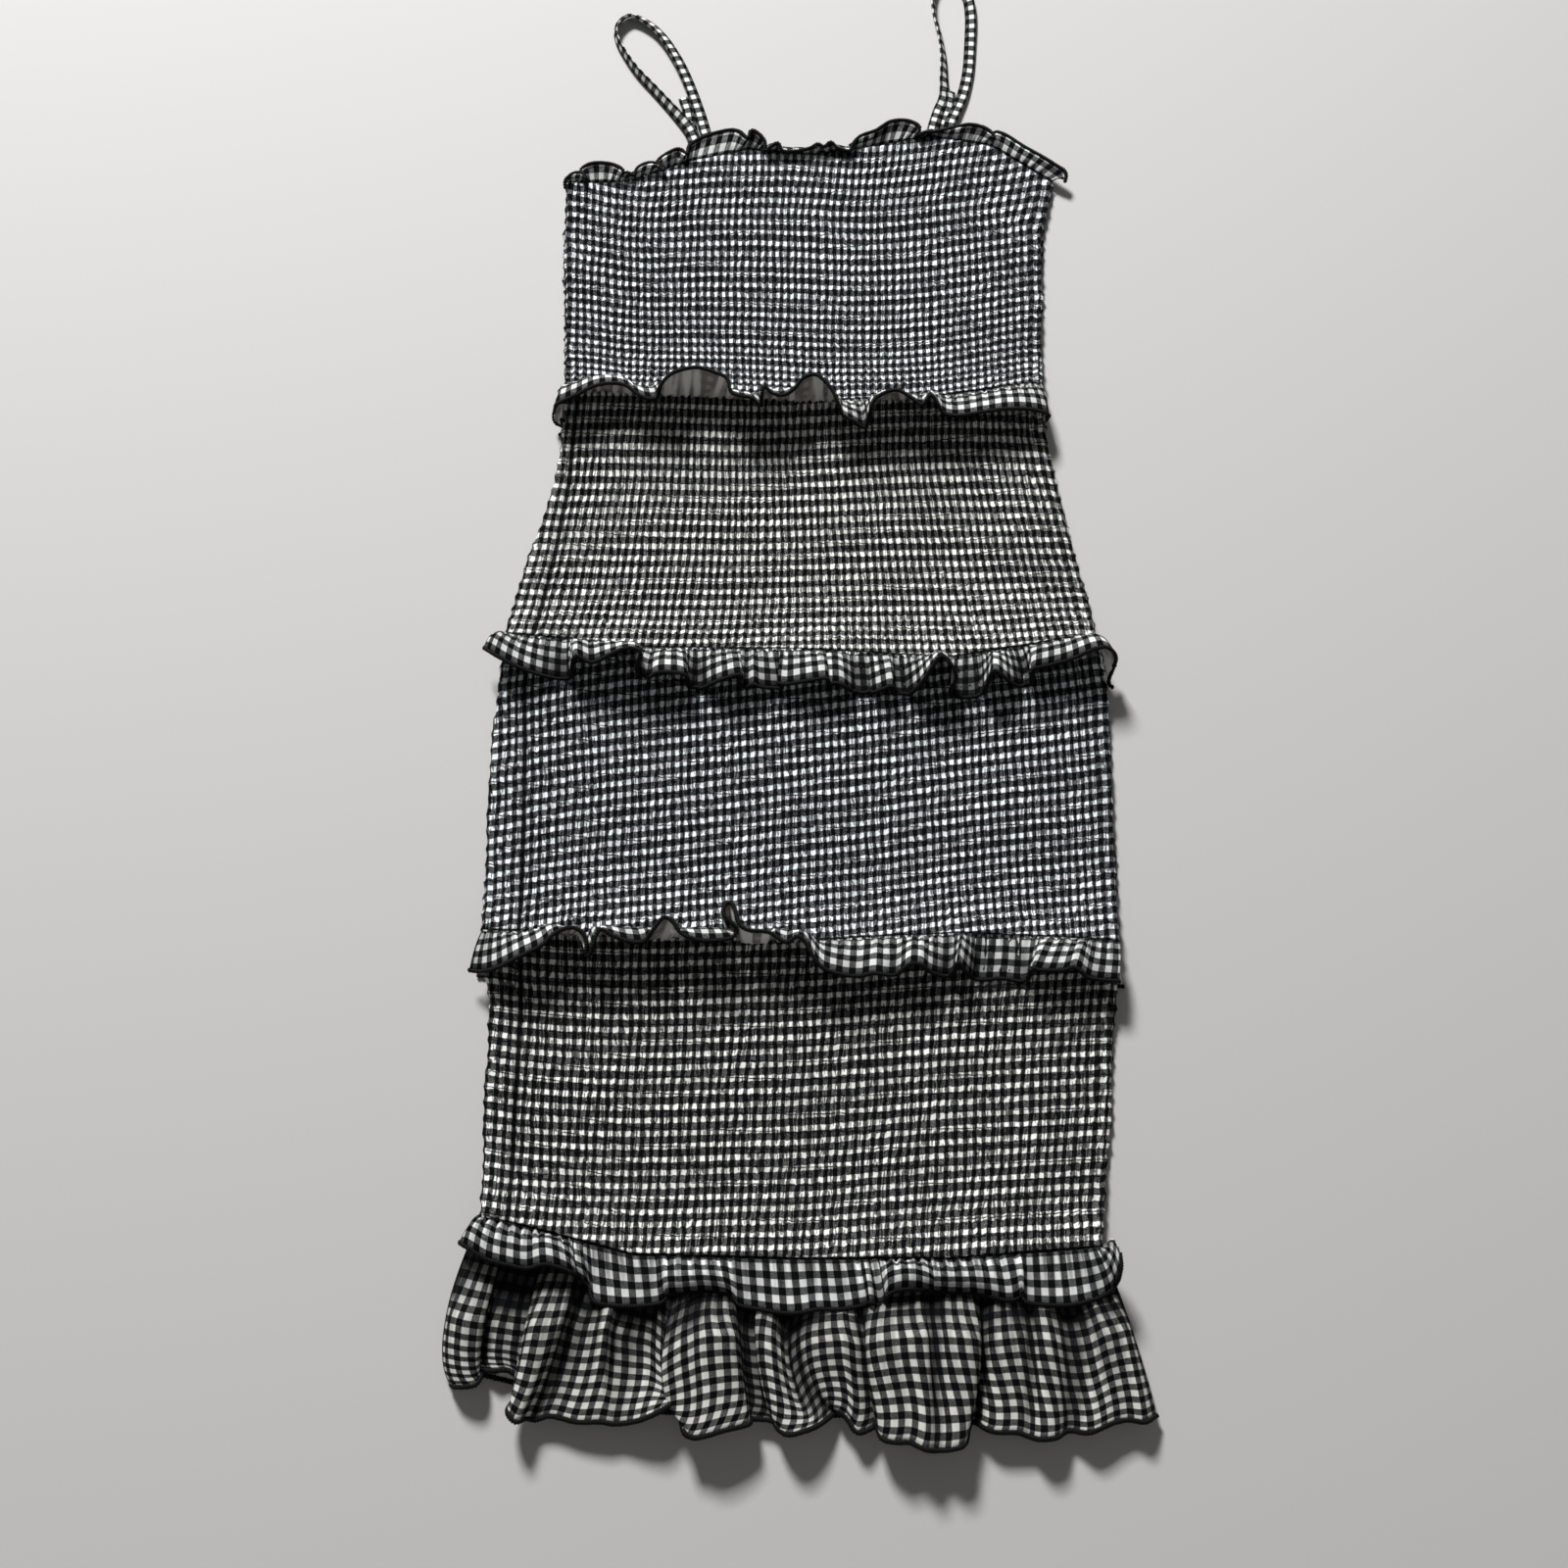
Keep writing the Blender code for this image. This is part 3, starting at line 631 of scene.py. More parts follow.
# The height of the gathers in each front piece.
GATHERS = {"neck": 0.7, "waist": 0.9, "hip": 0.9, "thigh": 0.9, "hem": 1.3, "flounce": 1.0}

FRILL_FOLDS = {"waist": WAIST_FRILL, "hip": HIP_FRILL, "thigh": THIGH_FRILL, "hem": HEM_FRILL}

# The back frills and the back flounce lie in even waves.
BACK_WAVES = 14
BACK_WAVE_HEIGHT = 2.0
BACK_OVERHANG = 2.0
BACK_FLOUNCE_INSET = 2.0
BACK_FLOUNCE_FLARE = 0.05
# How far the back neck frill reaches past its seam, at even places across the tube.
BACK_NECK_REACHES = (8, 10, 6, 4, 3.5, 4, 6, 10, 8)
# The back neck frill's cut width at its widest, and its mean share of that.
BACK_NECK_DEPTH = 10.0
# How far the back neckline lies behind the front's at its middle.
BACK_NECK_DIP = 5.0

# The straps' middle lines from the front root, round the loop, to the back root. Columns: x, y,
# height of the underside, and roll: 0 lies flat and 90 stands on its edge.
LEFT_STRAP = [
    (-45, 704, 1.5, 0),
    (-48, 713, 1.5, 0),
    (-51, 722, 0.9, 0),
    (-54, 734, 0.0, 5),
    (-59, 750, 0.0, 10),
    (-64, 764, 0.0, 15),
    (-70, 778, 0.0, 25),
    (-79, 794, 0.0, 35),
    (-89, 805, 0.0, 40),
    (-101, 811, 0.0, 50),
    (-109, 804, 0.0, 70),
    (-110, 794, 0.0, 80),
    (-105, 782, 0.0, 80),
    (-96, 767, 0.0, 75),
    (-84, 752, 0.0, 65),
    (-72, 737, 0.0, 50),
    (-62, 724, 0.9, 20),
    (-58, 713, 1.5, 0),
    (-56, 702, 1.5, 0),
]
RIGHT_STRAP = [
    (95, 719, 1.5, 0),
    (97, 727, 1.5, 0),
    (100, 737, 0.3, 5),
    (104, 748, 0.0, 20),
    (104, 762, 0.0, 45),
    (104, 778, 0.0, 60),
    (102, 796, 0.0, 70),
    (99, 812, 0.0, 75),
    (99, 828, 0.0, 75),
    (105, 839, 0.0, 60),
    (114, 839, 0.0, 50),
    (121, 828, 0.0, 30),
    (123, 812, 0.0, 15),
    (122, 790, 0.0, 5),
    (120, 768, 0.0, 0),
    (116, 750, 0.0, 5),
    (111, 737, 0.6, 5),
    (107, 727, 1.5, 0),
    (106, 718, 1.5, 0),
]
# Each strap's front end is folded back beside it and stitched down, in the same columns.
LEFT_STRAP_END = [
    (-54, 704, 0.6, 0),
    (-57, 714, 0.4, 0),
    (-60, 726, 0.0, 0),
    (-62, 738, 0.0, 0),
    (-65, 748, 0.0, 0),
]
RIGHT_STRAP_END = [
    (102, 718, 0.6, 0),
    (103, 726, 0.6, 0),
    (106, 736, 0.2, 5),
    (108, 745, 0.0, 20),
    (108, 752, 0.0, 30),
]

# The camera stands over the tables' datum and leans towards the neckline. Its lens and sensor are
# in millimetres too, and the picture is square.
CAMERA_HEIGHT = 924.0
CAMERA_LEAN = math.radians(17)
CAMERA_LENS = 38.95
CAMERA_SENSOR = 36.0
PICTURE_SIZE = 1600

CLOTH_BLACK = (0.0032, 0.0036, 0.0044, 1.0)
COOL_WHITE = (0.89, 0.93, 0.95, 1.0)
WARM_WHITE = (0.93, 0.93, 0.89, 1.0)
PLAIN_WHITE = (0.90, 0.91, 0.89, 1.0)
# The flounce's white is darker than the frills': painted shade over the whole flounce.
FLOUNCE_SHADED_WHITE = (0.77, 0.765, 0.72, 1.0)
STRAP_WHITE = (0.72, 0.73, 0.71, 1.0)
# The inside's colours are lightened as painted light shining through the cloth, and its streaks are
# painted highlights on its folds.
INSIDE_DARK = (0.27, 0.25, 0.23, 1.0)
INSIDE_LIGHT = (0.48, 0.44, 0.40, 1.0)
INSIDE_PAINTED_HIGHLIGHTS = (0.90, 0.88, 0.83, 1.0)
THREAD_BLACK = (0.0015, 0.0015, 0.0018, 1.0)
FIBRE_BLACK = (0.006, 0.006, 0.006, 1.0)
FLOOR_GREY = (0.475, 0.467, 0.457, 1.0)

# How each kind of cloth lies. Columns: how far its stripes waver, how soft their edges are, how
# dark the painted shade in a crease is, its fine wrinkles in a repeat across and down, and their
# depth.
SHIRRED = (0.26, 0.035, 0.15, (5.0, 0.9), 0.35)
FRILLED = (0.03, 0.03, 0.8, (1.2, 0.4), 0.5)
FLOUNCED = (0.03, 0.03, 0.96, (1.2, 0.4), 0.5)
STITCHED = (0.03, 0.03, 0.5, (1.5, 1.5), 0.3)
# The cloths. Columns: the light stripes, the dark stripes' width across and down, how dark the
# hatched cells are, how much of the white is darkened by painted shade in small folds, and how the
# cloth lies.
CLOTHS = {
    "plain": (PLAIN_WHITE, 0.50, 0.50, 0.86, 0.0, FRILLED),
    "flounce": (FLOUNCE_SHADED_WHITE, 0.50, 0.50, 0.86, 0.0, FLOUNCED),
    "strap": (STRAP_WHITE, 0.55, 0.55, 0.88, 0.0, STITCHED),
    "bodice": (COOL_WHITE, 0.54, 0.56, 0.88, 0.65, SHIRRED),
    "waist_tier": (WARM_WHITE, 0.50, 0.55, 0.85, 0.72, SHIRRED),
    "hip_tier": (COOL_WHITE, 0.48, 0.57, 0.88, 0.75, SHIRRED),
    "thigh_tier": (WARM_WHITE, 0.46, 0.59, 0.89, 0.80, SHIRRED),
}
# The roughness and the shine of each finish.
CLOTH_FINISH = (0.9, 0.06)
INSIDE_FINISH = (0.8, 0.1)
MERROW_FINISH = (0.55, 0.12)
ELASTIC_FINISH = (0.7, 0.12)
FLOOR_FINISH = (0.9, 0.5)

# Patterns in the cloth. A pair of sizes is how often a pattern changes in a repeat across and down,
# and a pair of edges is where a mask starts and where it is full.
STRIPE_WAVER = {"Dark Across": (0.7, 2.6), "Dark Down": (2.2, 0.6)}
HATCH_SOFTNESS = 0.08
THREADS_A_REPEAT = 26
THREAD_RELIEF = 0.12
# Painted shade of small folds in the white.
FOLD_SHADE_SIZE = (3.4, 0.8)
FOLD_SHADE_EDGES = (0.55, 0.61)
# Painted highlights in streaks on the inside's folds.
HIGHLIGHT_STREAK_SIZE = (0.9, 0.12)
HIGHLIGHT_STREAK_EDGES = (0.42, 0.58)
FIBRES_A_METRE = 2500.0
# The line of elastic: how it wavers and how far, its soft edge as shares of its half width, and
# its patches of strength, with the least strength and the most that is added.
ELASTIC_WAVER_SIZE = (0.8, 0.1)
ELASTIC_WAVER = 0.12
ELASTIC_EDGES = (0.7, 1.3)
ELASTIC_PATCH_SIZE = (1.5, 0.4)
ELASTIC_PATCH_EDGES = (0.3, 0.6)
ELASTIC_LEAST = 0.45
ELASTIC_ADDED = 0.5

# The stitches along an overlocked edge, and those of a row of elastic, in metres.
MERROW_STITCHES = {
    "front": {"Stitch Pitch": 0.0015, "Stitch Length": 0.0023},
    "back": {"Stitch Pitch": 0.0019, "Stitch Length": 0.0028},
}
ELASTIC_PITCH = {"front": 0.0027, "back": 0.0042}
ELASTIC_STITCHES = {
    "Stitch Length": 0.0024,
    "Stitch Width": 0.0007,
    "Stitch Height": 0.0006,
    "Slant": 0.0,
    "Unevenness": 0.3,
    "Sides": 4,
    "Rings": 2,
}

# The floor and the lights, in metres and watts. The floor lies a little under the dress.
FLOOR_SIZE = 8.0
FLOOR_DROP = 0.0007
# Columns: name, place, size and power.
LIGHTS = (
    ("window_light", (-0.85, 2.35, 2.20), 0.65, 190.0),
    ("room_light", (0.3, -0.9, 2.2), 1.8, 2.0),
)
WORLD_WHITE = (1.0, 1.0, 1.0, 1.0)
WORLD_STRENGTH = 0.13


def noise_field(seed):
    """A soft random surface from -1 to 1, with a value of its own at each whole number."""
    table = np.random.default_rng(seed).uniform(-1.0, 1.0, (NOISE_CELLS, NOISE_CELLS))

    def value(x, y):
        x, y = np.broadcast_arrays(x, y)
        i, j = np.floor(x).astype(int), np.floor(y).astype(int)
        s, t = x - i, y - j
        s, t = s * s * (3 - 2 * s), t * t * (3 - 2 * t)
        left, right, lower, upper = (cell % NOISE_CELLS for cell in (i, i + 1, j, j + 1))
        near = table[left, lower] * (1 - s) + table[right, lower] * s
        far = table[left, upper] * (1 - s) + table[right, upper] * s
        return near * (1 - t) + far * t

    return value


def unevenness(kind, seed, across, row):
    """One kind of unevenness in the shirring, at repeats across a panel and rows down it."""
    size, each_repeat, each_row = kind
    return size * noise_field(seed)(across * each_repeat, row * each_row)


def gather_line(kind, seed, across, line=0):
    """Gathers of one kind along a frill, as a wave from -1 to 1."""
    each_repeat, drift, drift_each_repeat = kind
    moved = drift * noise_field(seed)(across * drift_each_repeat, line)
    return np.sin(2 * math.pi * (across * each_repeat + moved))


def smooth_rows(rows, at):
    """The table's columns at fractional rows, on smooth curves through the rows."""
    table = np.array(rows, float)
    i = np.clip(at.astype(int), 0, len(table) - 2)
    t = (at - i)[..., None]
    a, b, c, d = (table[np.clip(i + k, 0, len(table) - 1)] for k in (-1, 0, 1, 2))
    squared = (2 * a - 5 * b + 4 * c - d) * t**2
    cubed = (3 * b - a - 3 * c + d) * t**3
    return np.moveaxis(0.5 * (2 * b + (c - a) * t + squared + cubed), -1, 0)


def spaced_value(values, at):
    """The value at a place from 0 to 1 among values at even places."""
    return np.interp(at, np.linspace(0, 1, len(values)), values)


def running_total(values, step):
    """The sum up to each of some evenly spaced values, from 0 at the first."""
    return np.concatenate([[0], np.cumsum((values[1:] + values[:-1]) / 2 * step)])


def seam_y(seam, across):
    """A seam's y at a place across the tube, 0 at its left fold and 1 at its right."""
    return spaced_value(SEAMS[seam], across)


def from_table(rows, number, at):
    """A column of a table at a distance in its first column."""
    return np.interp(at, [row[0] for row in rows], [row[number] for row in rows])


def tier_section(tier, down):
    """The left fold, side seam and right fold of a tier at a place down it."""
    return [from_table(TIERS[tier]["sections"], number, down) for number in (1, 2, 3)]


def tier_length(tier):
    upper, lower = TIERS[tier]["seams"]
    return seam_y(upper, 0.5) - seam_y(lower, 0.5)


def levels(tier, down):
    """The heights of the back's underside and top, and of the front's underside and top."""
    length = tier_length(tier)
    below = down * length if tier != "bodice" else BELOW_SEAM[-1][0] + 0 * down
    above = (1 - down) * length
    lift, hollow = (
        np.maximum(from_table(BELOW_SEAM, number, below), from_table(ABOVE_SEAM, number, above))
        for number in (1, 2)
    )
    back_top = lift + SHIRRED_WALL
    front_under = back_top + SEAM_GAP + hollow
    return lift, back_top, front_under, front_under + SHIRRED_WALL


def tube_edges(seam):
    """The left and right folds at a seam."""
    above = [tier for tier, facts in TIERS.items() if facts["seams"][1] == seam]
    left, _, right = tier_section(above[0], 1) if above else tier_section("bodice", 0)
    return left, right


def tier_y(tier, down, x):
    """The y of a tier's points: each row runs between the curves of its two seams."""
    left, _, right = tier_section(tier, down)
    across = np.clip((x - left) / (right - left), 0, 1)
    upper, lower = (seam_y(seam, across) for seam in TIERS[tier]["seams"])
    return upper + (lower - upper) * down


def checks_down(tier, x, y, down):
    """Repeats of gingham from a tier's top to its points. The rows slope across the shirring."""
    length = tier_length(tier)
    # Half a tier more on both sides, because a row's slope can take it past a seam.
    places = np.linspace(-0.5, 1.5, 2 * CHECK_STEPS + 1)
    density = length / spaced_value(TIERS[tier]["repeat_down"], places)
    counted = running_total(density, 1 / CHECK_STEPS)
    left, _, right = tier_section(tier, 0.5)
    across = np.linspace(left, right, CHECK_STEPS + 1)
    drops = []
    for angles in TIERS[tier]["downhill"]:
        slope = np.tan(np.radians(spaced_value(angles, np.linspace(0, 1, CHECK_STEPS + 1))))
        run = running_total(slope, across[1] - across[0])
        drops.append(np.interp(x, across, run - run[CHECK_STEPS // 2]))
    part = np.clip(down, 0, 1)
    distance = seam_y(TIERS[tier]["seams"][0], 0.5) - y - drops[0] * (1 - part) - drops[1] * part
    return np.interp(distance / length, places, counted)


def sight_line(across, down):
    """How far x and y run for each millimetre below the camera, at a place in the picture."""
    focal = PICTURE_SIZE * CAMERA_LENS / CAMERA_SENSOR
    y = np.tan(CAMERA_LEAN + np.arctan((PICTURE_SIZE / 2 - down) / focal))
    x = (across - PICTURE_SIZE / 2) / focal * (math.cos(CAMERA_LEAN) + y * math.sin(CAMERA_LEAN))
    return x, y


def seen_at(across, down, height):
    """The x and y of what is at a place in the picture and at a height."""
    x, y = sight_line(across, down)
    return x * (CAMERA_HEIGHT - height), y * (CAMERA_HEIGHT - height)


def seen_near(start, across, down, distance):
    """The highest point at a place in the picture that is a distance from a start, or the nearest."""
    x, y = sight_line(across, down)
    start_x, start_y, start_z = np.moveaxis(start, -1, 0)
    depth = CAMERA_HEIGHT - start_z
    squared = x**2 + y**2 + 1
    middle = (x * start_x + y * start_y + depth) / squared
    spare = middle**2 - (start_x**2 + start_y**2 + depth**2 - distance**2) / squared
    below = middle - np.sqrt(np.maximum(spare, 0.0))
    return np.stack([x * below, y * below, CAMERA_HEIGHT - below], axis=-1)


def surface_normals(points):
    """The unit normal at each point of a grid of points, towards +z where it lies flat."""
    along = np.gradient(points, axis=1)
    down = np.gradient(points, axis=0)
    normal = np.cross(along, down)
    normal /= np.maximum(np.linalg.norm(normal, axis=-1, keepdims=True), 1e-9)
    return normal


def placed(points):
    """Table points as mesh points, in metres from the middle of the dress's box."""
    return (points - np.array([BOX_MIDDLE[0], BOX_MIDDLE[1], 0.0])) * MM


def add_object(name, data):
    obj = bpy.data.objects.new(name, data)
    bpy.context.scene.collection.objects.link(obj)
    return obj


def add_wall(obj, offset):
    """Give a surface the thickness of its cloth."""
    wall = obj.modifiers.new("wall", "SOLIDIFY")
    wall.thickness = CLOTH_WALL * MM
    wall.offset = offset
    wall.material_offset = len(obj.data.materials) - 1


def add_grid(name, points, checks, materials, faces_up, offset, **attributes):
    """A sheet of cloth on a grid of points, with its checks as UVs and painted shade as an attribute.
    """
    rows, columns = points.shape[:2]
    bm = bmesh.new()
    bmesh.ops.create_grid(bm, x_segments=columns - 1, y_segments=rows - 1, size=0.5)
    mesh = bpy.data.meshes.new(name)
    bm.to_mesh(mesh)
    bm.free()
    mesh.vertices.foreach_set("co", placed(points).reshape(-1).astype(np.float32))
    corners = np.empty(len(mesh.loops), np.int32)
    mesh.loops.foreach_get("vertex_index", corners)
    uv = mesh.uv_layers.new(name="checks")
    uv.data.foreach_set("uv", checks.reshape(-1, 2)[corners].reshape(-1).astype(np.float32))
    for label, values in attributes.items():
        attribute = mesh.attributes.new(label, "FLOAT", "POINT")
        attribute.data.foreach_set("value", values.reshape(-1).astype(np.float32))
    mesh.update()
    normals = np.empty(3 * len(mesh.polygons), np.float32)
    mesh.polygons.foreach_get("normal", normals)
    if (normals[2::3].mean() > 0) != faces_up:
        mesh.flip_normals()
    mesh.shade_smooth()
    for material in materials:
        mesh.materials.append(material)
    obj = add_object(name, mesh)
    add_wall(obj, offset)
    return obj


def hang(obj, node):
    """Put a piece on the dress's body, in place of its CAD node where it has one."""
    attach(obj, "root")
    if node:
        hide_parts(node)


def new_node(tree, kind, inputs, **settings):
    """A node with its settings, and its inputs linked to sockets or given values."""
    node = tree.nodes.new(kind)
    for name, value in settings.items():
        setattr(node, name, value)
    for name, value in inputs.items():
        if isinstance(value, bpy.types.NodeSocket):
            tree.links.new(value, node.inputs[name])
        else:
            node.inputs[name].default_value = value
    return node


def math_node(tree, operation, *values, clamp=False):
    """A Math node on numbers or sockets, returning its output."""
    settings = {"operation": operation, "use_clamp": clamp}
    return new_node(tree, "ShaderNodeMath", dict(enumerate(values)), **settings).outputs[0]


def smooth_step(tree, value, low, high):
    """0 below the lower value, 1 above the higher one and smooth between."""
    inputs = {"Value": value, "From Min": low, "From Max": high}
    node = new_node(tree, "ShaderNodeMapRange", inputs, interpolation_type="SMOOTHSTEP")
    return node.outputs["Result"]


def soft_edge(tree, value, edge, softness):
    """0 below an edge and 1 above it, with a soft band on both sides."""
    low = math_node(tree, "SUBTRACT", edge, softness)
    high = math_node(tree, "ADD", edge, softness)
    return smooth_step(tree, value, low, high)


def mixed(tree, factor, first, second):
    """The first colour where the factor is 0 and the second where it is 1."""
    # A colour Mix node's factor is its input 0, its colours 6 and 7, and its result output 2.
    inputs = {0: factor, 6: first, 7: second}
    return new_node(tree, "ShaderNodeMix", inputs, data_type="RGBA").outputs[2]


def noise(tree, vector, scale=1.0, detail=2.0, dimensions="2D"):
    inputs = {"Scale": scale, "Detail": detail, "Vector": vector}
    return new_node(tree, "ShaderNodeTexNoise", inputs, noise_dimensions=dimensions).outputs["Fac"]


def stretched_noise(tree, vector, changes, detail=2.0):
    """Noise with its own number of changes across and down."""
    inputs = {"Scale": (*changes, 1.0), "Vector": vector}
    stretched = new_node(tree, "ShaderNodeMapping", inputs)
    return noise(tree, stretched.outputs[0], detail=detail)


def new_group(name, inputs, outputs, kind="ShaderNodeTree"):
    """An empty node group with named sockets: its tree, input sockets and output node's inputs."""
    tree = bpy.data.node_groups.new(name, kind)
    for socket_name, socket_kind, value in inputs:
        socket = tree.interface.new_socket(socket_name, in_out="INPUT", socket_type=socket_kind)
        if value is not None:
            socket.default_value = value
    for socket_name, socket_kind in outputs:
        tree.interface.new_socket(socket_name, in_out="OUTPUT", socket_type=socket_kind)
    entry = tree.nodes.new("NodeGroupInput")
    result = tree.nodes.new("NodeGroupOutput")
    return tree, entry.outputs, result.inputs


def gingham_group():
    """Woven gingham: black where two dark stripes cross, white where none does, hatched between."""
    tree, given, result = new_group(
        "gingham_weave",
        [
            ("Checks", "NodeSocketVector", None),
            ("Dark", "NodeSocketColor", CLOTH_BLACK),
            ("Light", "NodeSocketColor", PLAIN_WHITE),
            ("Dark Across", "NodeSocketFloat", 0.5),
            ("Dark Down", "NodeSocketFloat", 0.5),
            ("Softness", "NodeSocketFloat", 0.05),
            ("Wander", "NodeSocketFloat", 0.05),
            ("Hatch Lines", "NodeSocketFloat", 13.0),
            ("Hatch Dark", "NodeSocketFloat", 0.87),
            ("Painted Fold Shade", "NodeSocketFloat", 0.0),
        ],
        [("Color", "NodeSocketColor"), ("Threads", "NodeSocketFloat")],
    )
    calculate = partial(math_node, tree)
    parts = new_node(tree, "ShaderNodeSeparateXYZ", {0: given["Checks"]}).outputs
    stripes = []
    for place, (width, waver) in zip(parts, STRIPE_WAVER.items()):
        centred = calculate("SUBTRACT", stretched_noise(tree, given["Checks"], waver), 0.5)
        moved = calculate("MULTIPLY_ADD", centred, given["Wander"], place)
        from_middle = calculate("SUBTRACT", calculate("FRACT", moved), 0.5)
        peak = calculate("MULTIPLY", calculate("ABSOLUTE", from_middle), 2.0)
        edge = calculate("SUBTRACT", 1.0, given[width])
        stripes.append(soft_edge(tree, peak, edge, given["Softness"]))
    both = calculate("MULTIPLY", *stripes)
    total = calculate("ADD", *stripes)
    either = calculate("SUBTRACT", total, calculate("MULTIPLY", both, 2.0))
    diagonal = calculate("ADD", parts[0], parts[1])
    lines = calculate("MULTIPLY", diagonal, given["Hatch Lines"])
    line = calculate("MULTIPLY", calculate("PINGPONG", lines, 0.5), 2.0)
    light_part = calculate("SUBTRACT", 1.0, given["Hatch Dark"])
    hatch = soft_edge(tree, line, light_part, HATCH_SOFTNESS)
    woven = calculate("MULTIPLY_ADD", either, hatch, both)
    # Painted shade of small folds darkens part of the white.
    folds = smooth_step(tree, stretched_noise(tree, given["Checks"], FOLD_SHADE_SIZE), *FOLD_SHADE_EDGES)
    painted_fold_shade = calculate("MULTIPLY", folds, given["Painted Fold Shade"])
    light = calculate("SUBTRACT", 1.0, woven)
    dark = calculate("ADD", woven, calculate("MULTIPLY", light, painted_fold_shade))
    tree.links.new(mixed(tree, dark, given["Light"], given["Dark"]), result["Color"])
    threads = []
    for place in (parts[0], parts[1]):
        turns = calculate("MULTIPLY", place, 2 * math.pi * THREADS_A_REPEAT)
        threads.append(calculate("SINE", turns))
    tree.links.new(calculate("MULTIPLY", *threads), result["Threads"])
    return tree


def wrinkle_group():
    """Fine wrinkles that run down the cloth from its gathers."""
    tree, given, result = new_group(
        "fine_wrinkles",
        [
            ("Checks", "NodeSocketVector", None),
            ("Across", "NodeSocketFloat", 6.0),
            ("Down", "NodeSocketFloat", 0.8),
        ],
        [("Height", "NodeSocketFloat")],
    )
    sizes = {"X": given["Across"], "Y": given["Down"]}
    scale = new_node(tree, "ShaderNodeCombineXYZ", sizes).outputs[0]
    factors = {0: given["Checks"], 1: scale}
    product = new_node(tree, "ShaderNodeVectorMath", factors, operation="MULTIPLY").outputs[0]
    tree.links.new(noise(tree, product, detail=3.0), result["Height"])
    return tree


def elastic_group():
    """A thin dark line wherever a row of elastic is stitched, uneven in strength."""
    tree, given, result = new_group(
        "elastic_line",
        [
            ("Row", "NodeSocketFloat", 0.0),
            ("Checks", "NodeSocketVector", None),
            ("Width", "NodeSocketFloat", 0.08),
        ],
        [("Dark Share", "NodeSocketFloat")],
    )
    calculate = partial(math_node, tree)
    centred = calculate("SUBTRACT", stretched_noise(tree, given["Checks"], ELASTIC_WAVER_SIZE), 0.5)
    row = calculate("MULTIPLY_ADD", centred, ELASTIC_WAVER, given["Row"])
    distance = calculate("PINGPONG", row, 0.5)
    half = calculate("MULTIPLY", given["Width"], 0.5)
    inner, outer = (calculate("MULTIPLY", half, share) for share in ELASTIC_EDGES)
    outside = smooth_step(tree, distance, inner, outer)
    patches = stretched_noise(tree, given["Checks"], ELASTIC_PATCH_SIZE)
    uneven = smooth_step(tree, patches, *ELASTIC_PATCH_EDGES)
    strength = calculate("MULTIPLY_ADD", uneven, ELASTIC_ADDED, ELASTIC_LEAST)
    line = calculate("MULTIPLY", calculate("SUBTRACT", 1.0, outside), strength)
    tree.links.new(line, result["Dark Share"])
    return tree


def new_material(name, finish):
    """A material with a roughness and a shine: itself, its tree and its shader's inputs."""
    material = bpy.data.materials.new(name)
    material.use_nodes = True
    shader = material.node_tree.nodes["Principled BSDF"].inputs
    roughness, shine = finish
    shader["Roughness"].default_value = roughness
    shader["Specular IOR Level"].default_value = shine
    return material, material.node_tree, shader


def cloth_material(name, weave, wrinkles, elastic=None):
    """A gingham cloth whose checks follow its UVs, with painted shade and maybe lines of elastic."""
    light, dark_across, dark_down, hatch_dark, fold_shade_share, lie = CLOTHS[name]
    waver, softness, crease_dark, (wrinkles_across, wrinkles_down), wrinkle_depth = lie
    material, tree, shader = new_material(f"{name}_gingham", CLOTH_FINISH)
    checks = new_node(tree, "ShaderNodeUVMap", {}, uv_map="checks").outputs[0]
    looks = {
        "Checks": checks,
        "Light": light,
        "Dark Across": dark_across,
        "Dark Down": dark_down,
        "Hatch Dark": hatch_dark,
        "Painted Fold Shade": fold_shade_share,
        "Wander": waver,
        "Softness": softness,
    }
    gingham = new_node(tree, "ShaderNodeGroup", looks, node_tree=weave)
    sizes = {"Checks": checks, "Across": wrinkles_across, "Down": wrinkles_down}
    folds = new_node(tree, "ShaderNodeGroup", sizes, node_tree=wrinkles)
    # Painted shade, kept in an attribute, darkens the cloth towards black.
    crease = new_node(tree, "ShaderNodeAttribute", {}, attribute_name="crease").outputs["Fac"]
    dark = math_node(tree, "MULTIPLY", crease, crease_dark, clamp=True)
    if elastic:
        row = new_node(tree, "ShaderNodeAttribute", {}, attribute_name="elastic").outputs["Fac"]
        line = new_node(tree, "ShaderNodeGroup", {"Row": row, "Checks": checks}, node_tree=elastic)
        dark = math_node(tree, "MAXIMUM", dark, line.outputs["Dark Share"])
    colour = mixed(tree, dark, gingham.outputs["Color"], CLOTH_BLACK)
    tree.links.new(colour, shader["Base Color"])
    height = math_node(
        tree, "MULTIPLY_ADD", gingham.outputs["Threads"], THREAD_RELIEF, folds.outputs["Height"]
    )
    relief = {"Distance": wrinkle_depth * MM, "Height": height}
    tree.links.new(new_node(tree, "ShaderNodeBump", relief).outputs[0], shader["Normal"])
    return material


